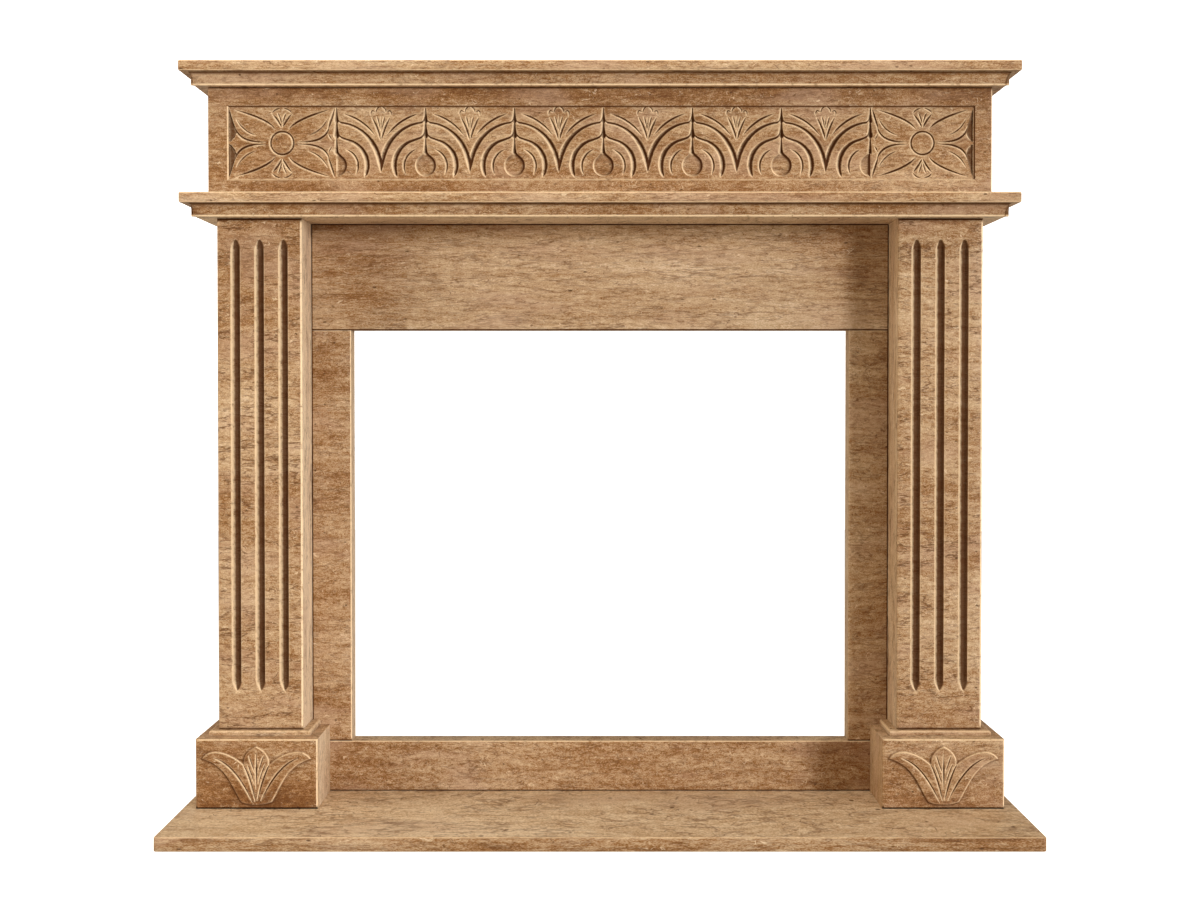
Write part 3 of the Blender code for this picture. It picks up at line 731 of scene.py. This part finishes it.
def close_block(shell, ring, at, low, high, plan, foot, head):
    """Adds the sides, back, foot and head of a fronted block to its front's outer ring."""
    corners = (low, (high[0], low[1]), high, (low[0], high[1]))
    closed = ring + ring[:1]
    bounds = [int(np.argmin(np.linalg.norm(at - np.array(corner), axis=1))) for corner in corners] + [len(ring)]
    bottom, right, top, left = [closed[bounds[i] : bounds[i + 1] + 1] for i in range(4)]
    feet = shell.add([(x, y, foot) for x, y in plan])
    heads = shell.add([(x, y, head) for x, y in plan])
    shell.face(bottom + feet, LEVEL, True)
    shell.face(top + heads[::-1], LEVEL, True)
    shell.face(right + [heads[0], feet[0]], SIDE, True)
    shell.face(left + [feet[-1], heads[-1]], SIDE, True)
    for i in range(len(plan) - 1):
        grain = SIDE if abs(plan[i][0] - plan[i + 1][0]) < 1e-6 else FRONT
        shell.face((feet[i], feet[i + 1], heads[i + 1], heads[i]), grain, True)


def swept_slab(node, profile, seed, corner=0.0, rest=(), ends=None):
    """A slab or moulding whose profile runs round its right end, front and left end. The profile lists how far in
    from the plan's edge and how high each line lies, its wear with painted highlight, and its dirt with painted
    shade. Corner is the radius of the front corners, and square ones are mitred. Ends says how far back the two
    ends reach, and rest lists the plan's points between them."""
    low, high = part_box(node)
    right_back, left_back = ends or (high.y, high.y)
    path, normals, sides = [], [], []
    legs = [((high.x, right_back), (high.x, low.y + corner), (1.0, 0.0), SIDE)]
    legs.append(((high.x - corner, low.y), (low.x + corner, low.y), (0.0, -1.0), FRONT))
    legs.append(((low.x, low.y + corner), (low.x, left_back), (-1.0, 0.0), SIDE))
    for number, (start, end, normal, grain) in enumerate(legs):
        run = np.array(end) - start
        count = max(2, int(round(np.linalg.norm(run) / EDGE_PITCH)))
        for i in range(count + 1):
            point = np.array(start) + run * i / count
            if path and np.linalg.norm(point - path[-1]) < 1e-6:
                normals[-1], sides[-1] = normals[-1] + np.array(normal), grain
                continue
            path.append(point)
            normals.append(np.array(normal))
            sides.append(grain)
        if corner and number < 2:
            turn_from = math.atan2(normal[1], normal[0])
            hub = np.array(end) - corner * np.array(normal)
            for step in (1, 2, 3):
                angle = turn_from - math.radians(90.0 * step / 4)
                direction = np.array((math.cos(angle), math.sin(angle)))
                path.append(hub + corner * direction)
                normals.append(direction)
                sides.append(FRONT)
    path, normals = np.array(path), np.array(normals)
    way = way_along(path)
    count = len(path)
    shell = Shell()
    rings = []
    for inset, level, wear, local_dirt_and_shade in profile:
        arris = 1 if level < (high.z - low.z) / 2 else 2
        bite = wear * nicks(way[-1], seed + arris)(way)
        places = path - normals * (inset + bite)[:, None]
        rows = [(x, y, low.z + level) for x, y in [*places, *rest]]
        rings.append(shell.add(rows, wear=wear, dirt_and_shade=local_dirt_and_shade))
    for lower, higher in zip(rings, rings[1:]):
        for i in range(len(lower)):
            j = (i + 1) % len(lower)
            behind = i >= count - 1
            shell.face((lower[i], lower[j], higher[j], higher[i]), FRONT if behind else sides[i], behind)
    shell.face(rings[0], LEVEL, True)
    shell.face(rings[-1], LEVEL, True)
    shell.finish(node)


def eased_profile(thick, foot_arris, head_arris, wear):
    """Profile of a slab's edge with its two arrises rounded and worn, with a painted highlight, and painted shade
    along the foot of the lower one: of each line how far in it lies, how high, how worn and highlighted, and how
    much painted shade it holds."""
    turns = [math.radians(90.0 * step / ARRIS_STEPS) for step in range(ARRIS_STEPS + 1)]
    profile = []
    for step, turn in enumerate(turns):
        inset, level = foot_arris * (1.0 - math.sin(turn)), foot_arris * (1.0 - math.cos(turn))
        profile.append((inset, level, 0.8 * wear if 1 < step < ARRIS_STEPS else 0.0, 1.0 if step < 2 else 0.0))
    for step, turn in enumerate(turns):
        inset, level = head_arris * (1.0 - math.cos(turn)), thick - head_arris * (1.0 - math.sin(turn))
        profile.append((inset, level, wear if 0 < step < ARRIS_STEPS else 0.0, 0.0))
    return profile


def hollow_profile(height):
    """Profile of a moulding that hollows out from its foot to its wider head."""
    hollow = arc((MOULDING_FLARE, MOULDING_FILLET), (MOULDING_FLARE, height - MOULDING_FILLET), 180, 90, 12)
    # Painted shade on the foot's lowest line and at the hollow's head under the slab; wear with a painted
    # highlight on the foot's fillet
    profile = [(MOULDING_FLARE + 0.0014, 0.0, 0.0, 1.0), (MOULDING_FLARE + 0.0004, 0.0005, 0.8, 0.0)]
    profile += [(MOULDING_FLARE, 0.0015, 1.0, 0.0), (MOULDING_FLARE, 0.0032, 0.7, 0.0)]
    for out, level in hollow:
        profile.append((MOULDING_FLARE - out, level, 0.0, max(0.0, (level / height - 0.80) / 0.20)))
    return profile


# Tones of each stone's front, side and level faces, which also paint light and shade: a face is made lighter or
# darker by how the light falls on it, as the left pilaster's and left plinth's returns that face the light. Its
# place in this list is the seed of its pattern
TONES_AND_PAINTED_LIGHT = {
    "hearth": (-0.17, -0.10, 0.26),
    "plinth_left": (-0.13, 0.36, 0.05),
    "plinth_right": (-0.10, 0.10, 0.05),
    "plinth_cap_left": (0.0, 0.15, 0.05),
    "plinth_cap_right": (0.0, 0.15, 0.05),
    "pilaster_left": (-0.06, 0.47, 0.0),
    "pilaster_right": (-0.04, 0.17, 0.0),
    "infill_base": (-0.03, 0.0, 0.25),
    "infill_leg_left": (-0.06, 0.25, 0.0),
    "infill_leg_right": (0.0, 0.15, 0.0),
    "infill_header": (0.10, 0.0, 0.0),
    "lower_moulding": (-0.07, 0.0, 0.34),
    "lower_shelf": (0.0, 0.1, 0.1),
    "frieze": (-0.12, 0.0, 0.0),
    "upper_moulding": (-0.09, 0.0, 0.12),
    "top_shelf": (-0.02, 0.1, 0.1),
}

# Broad lighter or darker places on a stone: x, z, how wide, how high, and tone. Some are painted shade: the dark
# band along the frieze's head under the moulding, and the dark right ends of the infill base and header in the
# right pilaster's shadow
BLOTCHES_AND_PAINTED_SHADE = {
    "plinth_left": [(-0.61, 0.03, 0.3, 0.03, -0.17)],
    "plinth_right": [(0.61, 0.03, 0.3, 0.03, -0.12)],
    "infill_base": [(-0.45, 0.07, 0.12, 0.2, -0.12), (0.47, 0.07, 0.1, 0.2, -0.16)],
    "infill_header": [(-0.45, 1.0, 0.1, 0.1, -0.34), (0.47, 1.0, 0.08, 0.1, -0.14)],
    "frieze": [(0, 1.305, 9, 0.016, -0.16), (-0.57, 1.23, 0.1, 0.07, -0.12), (0.57, 1.23, 0.1, 0.07, 0.06)],
}

# How far a stone's beds are pressed together along their length, and how strong its dark lines are
STRETCH = {"hearth": 0.5, "infill_header": 0.6, "lower_shelf": 0.7, "top_shelf": 0.7}
USUAL_LINES = 0.35
LINES = {"pilaster_left": 1.0, "pilaster_right": 1.0}

# The stone's colours, as a screen shows them: along its tones from dark to light, and of what lies on it. The
# dirt colour also paints shade, the black paints a contact shadow, and the worn colour also paints highlights
RAMP = ((0.05, (108, 68, 34)), (0.3, (149, 106, 65)), (0.5, (181, 149, 114)))
RAMP += ((0.68, (200, 171, 138)), (0.95, (227, 205, 177)))
ROSY, SEAM, STROKE, PALE = (190, 158, 133), (94, 58, 30), (108, 70, 40), (222, 196, 160)
DARK_CURL, LIGHT_CURL, FLECK, HAIR = (118, 80, 49), (228, 202, 166), (236, 214, 182), (98, 62, 34)
PIT, DIRT_AND_SHADE_COLOUR, CONTACT_SHADOW, HIGHLIGHT_AND_WEAR = (82, 54, 34), (78, 42, 14), (24, 12, 5), (240, 213, 176)


def colour(screen):
    """A colour as a shader takes it, from the values a screen shows, 0 to 255."""
    shares = [value / 255 for value in screen]
    return tuple(s / 12.92 if s <= 0.04045 else ((s + 0.055) / 1.055) ** 2.4 for s in shares) + (1.0,)


class Graph:
    """Short calls that build a material's nodes."""

    def __init__(self, name):
        self.material = bpy.data.materials.new(name)
        self.material.use_nodes = True
        self.tree = self.material.node_tree
        self.shader = self.tree.nodes["Principled BSDF"]

    def add(self, kind, inputs, output=0, **settings):
        """Adds a node, sets it up, links or fills its inputs, and gives one of its outputs."""
        node = self.tree.nodes.new(kind)
        for key, value in settings.items():
            setattr(node, key, value)
        for key, value in inputs.items():
            self.put(node.inputs[key], value)
        return node.outputs[output]

    def put(self, socket, value):
        """Links a socket to another, or fills it with a value."""
        if isinstance(value, bpy.types.NodeSocket):
            self.tree.links.new(value, socket)
        else:
            socket.default_value = value

    def math(self, operation, a, b=0.0, clamp=False):
        return self.add("ShaderNodeMath", {0: a, 1: b}, operation=operation, use_clamp=clamp)

    def vector(self, operation, a, b):
        return self.add("ShaderNodeVectorMath", {0: a, 1: b}, operation=operation)

    def layer(self, place, along, across, detail, roughness=0.55, distortion=0.0, output="Fac"):
        """Noise with so many grains to the metre along and across the beds."""
        inputs = {"Vector": self.vector("MULTIPLY", place, (along, along, across)), "Scale": 1.0}
        inputs.update({"Detail": detail, "Roughness": roughness, "Distortion": distortion})
        return self.add("ShaderNodeTexNoise", inputs, output)

    def attribute(self, name, output="Fac"):
        return self.add("ShaderNodeAttribute", {}, output, attribute_name=name)

    def span(self, value, low, high, to_low=0.0, to_high=1.0):
        """The value, moved smoothly from one range to another and held at its ends."""
        inputs = {"Value": value, "From Min": low, "From Max": high, "To Min": to_low, "To Max": to_high}
        return self.add("ShaderNodeMapRange", inputs, interpolation_type="SMOOTHSTEP")

    def mix(self, share, a, b):
        return self.add("ShaderNodeMix", {0: share, 6: a, 7: b}, 2, data_type="RGBA")

    def paint(self, shade, share, strength, screen):
        """The shade under a colour that is laid on it as the share says, by the strength at most."""
        return self.mix(self.math("MULTIPLY", share, strength), shade, colour(screen))

    def ridge(self, value, level, width):
        """1 where the value is at the level, falling to 0 the width away: the level's contour lines."""
        away = self.math("ABSOLUTE", self.math("SUBTRACT", value, level))
        return self.span(away, 0.0, width, 1.0, 0.0)


def travertine(node):
    """Honed brown travertine: wispy beds, thin dark lines, curled light flecks, pits, worn arrises and brows with
    painted highlights, and dirt with painted shade.
    """
    g = Graph(node + "_stone_travertine")
    seed = 1 + list(TONES_AND_PAINTED_LIGHT).index(node)
    place = g.vector("ADD", g.attribute("beds", "Vector"), (seed * 3.17, seed * 1.71, seed * 0.613))
    bent = place
    for along, across, reach in ((3.0, 9.0, (0.0, 0.0, 0.035)), (28.0, 60.0, (0.004, 0.004, 0.006))):
        bend = g.vector("SUBTRACT", g.layer(place, along, across, 3.0, output="Color"), (0.5, 0.5, 0.5))
        bent = g.vector("ADD", bent, g.vector("MULTIPLY", bend, reach))

    clouds = g.layer(bent, 2.2, 9.0, 3.0, 0.5)
    beds = g.layer(bent, 9.0, 62.0, 5.0, 0.62)
    wisps = g.layer(bent, 75.0, 250.0, 5.0, 0.6)
    curls = g.layer(bent, 150.0, 290.0, 3.0, 0.55, 2.2)
    grain = g.layer(place, 480.0, 800.0, 2.0, 0.6)
    value = g.math("MULTIPLY", g.math("SUBTRACT", clouds, 0.5), 0.7)
    for layer, weight in ((beds, 0.65), (wisps, 0.8), (curls, 0.7), (grain, 0.9)):
        value = g.math("ADD", value, g.math("MULTIPLY", g.math("SUBTRACT", layer, 0.5), weight))
    value = g.math("ADD", value, g.math("ADD", g.attribute("tone_and_painted_light"), 0.5))
    ramp = g.tree.nodes.new("ShaderNodeValToRGB")
    while len(ramp.color_ramp.elements) < len(RAMP):
        ramp.color_ramp.elements.new(0.5)
    for element, (position, screen) in zip(ramp.color_ramp.elements, RAMP):
        element.position, element.color = position, colour(screen)
    g.put(ramp.inputs[0], value)
    shade = ramp.outputs[0]

    patchy = g.layer(bent, 6.0, 16.0, 3.0)
    shade = g.mix(g.span(patchy, 0.48, 0.68, 0.0, 0.45), shade, colour(ROSY))

    seams, breaks = g.layer(bent, 9.0, 52.0, 4.0, 0.6), g.layer(bent, 9.0, 24.0, 2.0)
    strokes, spread = g.layer(bent, 34.0, 125.0, 3.0, 0.55), g.layer(bent, 14.0, 40.0, 3.0, 0.6)
    twists = g.layer(bent, 85.0, 170.0, 3.0, 0.55, 1.5)
    shells, some = g.layer(bent, 60.0, 95.0, 1.0, 0.4, 0.8), g.layer(bent, 42.0, 90.0, 2.0)
    # Fine marks: the layer, the level and width of its contour, what breaks it up and from where to where,
    # strength and colour
    marks = (
        (seams, 0.5, 0.026, breaks, 0.40, 0.52, 0.25 + 0.6 * LINES.get(node, USUAL_LINES), SEAM),
        (strokes, 0.46, 0.045, spread, 0.60, 0.45, 0.55, STROKE),
        (strokes, 0.57, 0.028, spread, 0.42, 0.62, 0.4, PALE),
        (twists, 0.49, 0.018, spread, 0.40, 0.62, 0.35, DARK_CURL),
        (twists, 0.535, 0.016, spread, 0.40, 0.62, 0.26, LIGHT_CURL),
        (shells, 0.60, 0.022, some, 0.57, 0.64, 0.7, FLECK),
        (shells, 0.42, 0.024, some, 0.46, 0.38, 0.7, HAIR),
    )
    drawn = []
    for layer, level, width, breaking, low, high, strength, screen in marks:
        drawn.append(g.math("MULTIPLY", g.ridge(layer, level, width), g.span(breaking, low, high)))
        shade = g.paint(shade, drawn[-1], strength, screen)
    seam, dark = drawn[0], drawn[3]

    holes = g.tree.nodes.new("ShaderNodeTexVoronoi")
    g.put(holes.inputs["Vector"], g.vector("MULTIPLY", bent, (55.0, 55.0, 95.0)))
    g.put(holes.inputs["Scale"], 1.0)
    chosen = g.span(g.add("ShaderNodeSeparateColor", {0: holes.outputs["Color"]}), 0.80, 0.86)
    pit = g.math("MULTIPLY", g.span(holes.outputs["Distance"], 0.08, 0.17, 1.0, 0.0), chosen)
    shade = g.paint(shade, pit, 0.8, PIT)

    # Dirt with painted shade, black for a painted contact shadow where it runs past one, then wear with painted
    # highlight
    dirt_and_shade = g.attribute("dirt_and_shade")
    shade = g.mix(g.math("MULTIPLY", dirt_and_shade, 0.96, True), shade, colour(DIRT_AND_SHADE_COLOUR))
    shade = g.mix(g.span(dirt_and_shade, 1.0, 1.8), shade, colour(CONTACT_SHADOW))
    broken = g.span(g.layer(place, 90.0, 90.0, 4.0, 0.7), 0.30, 0.50, 0.25, 1.0)
    shade = g.paint(shade, g.attribute("wear"), broken, HIGHLIGHT_AND_WEAR)
    g.put(g.shader.inputs["Base Color"], shade)

    rough = g.math("ADD", g.math("MULTIPLY", wisps, 0.25), g.span(dirt_and_shade, 0.0, 1.0, 0.36, 0.7))
    g.put(g.shader.inputs["Roughness"], g.math("ADD", rough, g.math("MULTIPLY", pit, 0.3)))
    g.shader.inputs["Specular IOR Level"].default_value = 0.17
    level = g.math("SUBTRACT", g.math("MULTIPLY", curls, 0.12), pit)
    level = g.math("SUBTRACT", level, g.math("MULTIPLY", seam, 0.25))
    level = g.math("SUBTRACT", level, g.math("MULTIPLY", dark, 0.2))
    bump = {"Height": level, "Strength": 0.7, "Distance": 0.0007}
    g.put(g.shader.inputs["Normal"], g.add("ShaderNodeBump", bump))
    return g.material


# The stage, a bowl: its flat floor and its bend by radius, its wall by its head, and how far the floor lies below
# the hearth's foot
STAGE_FLAT, STAGE_BEND, STAGE_HEAD, STAGE_SINK = 9.0, 2.0, 9.0, 0.0004

# The world's strength above and below, and the colour of soft light
WORLD_ABOVE = 0.24
WORLD_BELOW = 0.48
WARM = (1.0, 0.88, 0.7)

# Suns: azimuth to the viewer's right, rise and breadth in degrees, energy. Fills: place, target, watts
SUNS = {"key": (32.0, 7.0, 14.0, 1.8), "wing": (75.0, 8.0, 40.0, 1.25)}
FILLS = {"left_fill": ((-4.2, -1.2, 1.2), (0.0, 0.1, 0.7), 100.0)}
FILLS["top_fill"] = ((0.0, -0.9, 4.2), (0.0, -0.5, 0.0), 80.0)
FILL_SIZE = 2.4


def plain_stage():
    """A pale floor that turns up into a pale wall far away on every side, as one bowl. It is only there to be
    seen: light passes through it."""
    bend = arc((STAGE_FLAT, STAGE_BEND), (STAGE_BEND, STAGE_BEND), -90, 0, 16)
    profile = bend + [(STAGE_FLAT + STAGE_BEND, STAGE_HEAD)]
    turns = np.radians(np.arange(0, 360, 5))
    body = bmesh.new()
    rings = []
    for out, level in profile:
        rings.append([body.verts.new((out * math.cos(a), out * math.sin(a), level - STAGE_SINK)) for a in turns])
    centre = body.verts.new((0.0, 0.0, -STAGE_SINK))
    for i in range(len(turns)):
        body.faces.new((centre, rings[0][i - 1], rings[0][i]))
        for lower, higher in zip(rings, rings[1:]):
            body.faces.new((lower[i - 1], lower[i], higher[i], higher[i - 1]))
    for face in body.faces:
        face.smooth = True
    sheet = bpy.data.meshes.new("floor")
    body.to_mesh(sheet)
    body.free()
    floor = bpy.data.objects.new("floor", sheet)
    bpy.context.scene.collection.objects.link(floor)
    g = Graph("pale_floor")
    g.put(g.shader.inputs["Base Color"], (0.86, 0.86, 0.86, 1.0))
    g.put(g.shader.inputs["Roughness"], 0.9)
    g.put(g.shader.inputs["Emission Color"], (1.0, 1.0, 1.0, 1.0))
    g.put(g.shader.inputs["Emission Strength"], 1.0)
    sheet.materials.append(g.material)
    floor.visible_diffuse = floor.visible_glossy = floor.visible_shadow = False


def add_light(name, lamp, towards):
    """Adds a light that shines from the way that it is turned towards."""
    light = bpy.data.objects.new(name, lamp)
    light.rotation_euler = towards.to_track_quat("Z", "Y").to_euler()
    light.visible_camera = False
    bpy.context.scene.collection.objects.link(light)
    return light


def lights():
    """A soft low key from the right, soft fills from the left and above, and a pale world."""
    for name, (azimuth, rise, breadth, energy) in SUNS.items():
        sun = bpy.data.lights.new(name, "SUN")
        sun.energy, sun.angle, sun.color = energy, math.radians(breadth), (1.0, 0.985, 0.96)
        turn = math.radians(azimuth)
        add_light(name, sun, Vector((math.sin(turn), -math.cos(turn), math.tan(math.radians(rise)))))
    for name, (place, target, power) in FILLS.items():
        lamp = bpy.data.lights.new(name, "AREA")
        lamp.size, lamp.energy, lamp.color = FILL_SIZE, power, WARM
        add_light(name, lamp, Vector(place) - Vector(target)).location = place
    world = bpy.data.worlds.new("studio")
    world.use_nodes = True
    tree = world.node_tree
    back = tree.nodes["Background"]
    back.inputs["Color"].default_value = WARM + (1.0,)
    way = tree.nodes.new("ShaderNodeTexCoord")
    split = tree.nodes.new("ShaderNodeSeparateXYZ")
    share = tree.nodes.new("ShaderNodeMapRange")
    tree.links.new(way.outputs["Generated"], split.inputs[0])
    tree.links.new(split.outputs["Z"], share.inputs["Value"])
    for key, value in (("From Min", -0.3), ("From Max", 0.3), ("To Min", WORLD_BELOW), ("To Max", WORLD_ABOVE)):
        share.inputs[key].default_value = value
    tree.links.new(share.outputs[0], back.inputs["Strength"])
    bpy.context.scene.world = world


def camera():
    """The photograph's camera."""
    data = bpy.data.cameras.new("camera")
    data.lens, data.sensor_width = CAMERA_LENS, CAMERA_SENSOR
    eye = bpy.data.objects.new("camera", data)
    eye.location = CAMERA_PLACE
    eye.rotation_euler = (math.radians(90) + CAMERA_PITCH, 0.0, 0.0)
    bpy.context.scene.collection.objects.link(eye)
    bpy.context.scene.camera = eye


def notched_back(side, back):
    """How far back the right and the left end of a plinth or cap reach, and where the step between them lies.
    They are cut back beside the pilaster, to let the infill panels pass."""
    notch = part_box("infill_header")[0].y - JOINT
    low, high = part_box("pilaster_right" if side > 0 else "pilaster_left")
    return (back, notch, low.x) if side > 0 else (notch, back, high.x)


def slabs():
    """Hearth, shelves, mouldings and plinth caps."""
    hearth_edge = eased_profile(HEARTH_THICK, 0.002, 0.0025, wear=0.4)
    swept_slab("hearth", hearth_edge, corner=HEARTH_CORNER, seed=10)
    for node, seed in (("lower_shelf", 20), ("top_shelf", 30)):
        swept_slab(node, eased_profile(SHELF_THICK, SHELF_ARRIS, SHELF_ARRIS, wear=0.85), seed=seed)
    for node, seed in (("lower_moulding", 40), ("upper_moulding", 50)):
        low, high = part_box(node)
        swept_slab(node, hollow_profile(high.z - low.z), seed=seed)
    for side, name in ENDS:
        node = "plinth_cap_" + name
        low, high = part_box(node)
        right, left, step = notched_back(side, high.y)
        profile = eased_profile(high.z - low.z, 0.001, 0.004, wear=0.45)
        swept_slab(node, profile, rest=[(step, left), (step, right)], seed=60 + side, ends=(right, left))


def shifted(features, x, z):
    """Moves carving from a block's own frame to the mantel's."""
    for feature in features:
        if isinstance(feature, Cut):
            feature.line = feature.line + (x, z)
        else:
            feature.outline = feature.outline + (x, z)


def carved():
    """Frieze, plinths and pilasters."""
    low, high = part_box("frieze")
    patches, cuts = frieze_carving(low.x, high.x)
    shifted(patches + cuts, 0.0, low.z)
    band_low = (low.x + BAND_FROM_LEFT, low.z + BAND_ABOVE_FOOT)
    band_high = (high.x - BAND_FROM_RIGHT, low.z + BAND_ABOVE_FOOT + BAND_HEIGHT)
    fronted_block("frieze", arris=0.0018, patches=patches, cuts=cuts, dense=(band_low, band_high), seed=70,
                  field_pitch=0.008, joints_and_shade={"foot": 1.0, "head": 1.0})
    for side, name in ENDS:
        node = "plinth_" + name
        low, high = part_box(node)
        patches, cuts = leaf_carving((high.x - low.x) / 2, high.z - low.z)
        shifted(patches + cuts, (low.x + high.x) / 2, low.z)
        right, left, step = notched_back(side, high.y)
        plan = [(high.x, right), (step, right), (step, left), (low.x, left)]
        dense = ((low.x + 0.006, low.z + 0.006), (high.x - 0.006, high.z - 0.006))
        # The plinth's foot along the hearth is painted black, as a contact shadow
        fronted_block(node, plan=plan, arris=0.003, patches=patches, cuts=cuts, dense=dense, seed=80 + side,
                      field_pitch=0.008, joints_and_shade={"foot": 2.0})
        node = "pilaster_" + name
        low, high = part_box(node)
        cuts = [flute((i - (FLUTES - 1) / 2) * FLUTE_SPACING, high.z - low.z) for i in range(FLUTES)]
        shifted(cuts, (low.x + high.x) / 2, low.z)
        fronted_block(node, arris=0.004, cuts=cuts, seed=90 + side, field_pitch=0.012,
                      joints_and_shade={"foot": 0.7, "head": 1.0})


def panels():
    """The four plain panels round the opening."""
    # Edges of each panel that meet another stone: a dark joint with painted shade
    joints_and_shade = {"infill_base": ("foot", "left", "right"), "infill_leg_left": ("foot", "left")}
    joints_and_shade["infill_leg_right"] = ("foot", "right")
    joints_and_shade["infill_header"] = ("foot", "head", "left", "right")
    for number, (node, sides) in enumerate(joints_and_shade.items()):
        fronted_block(node, arris=0.0024, seed=100 + number, joints_and_shade=dict.fromkeys(sides, 1.0))


camera()
lights()
plain_stage()
slabs()
carved()
panels()
bpy.context.scene.view_settings.view_transform = "Standard"
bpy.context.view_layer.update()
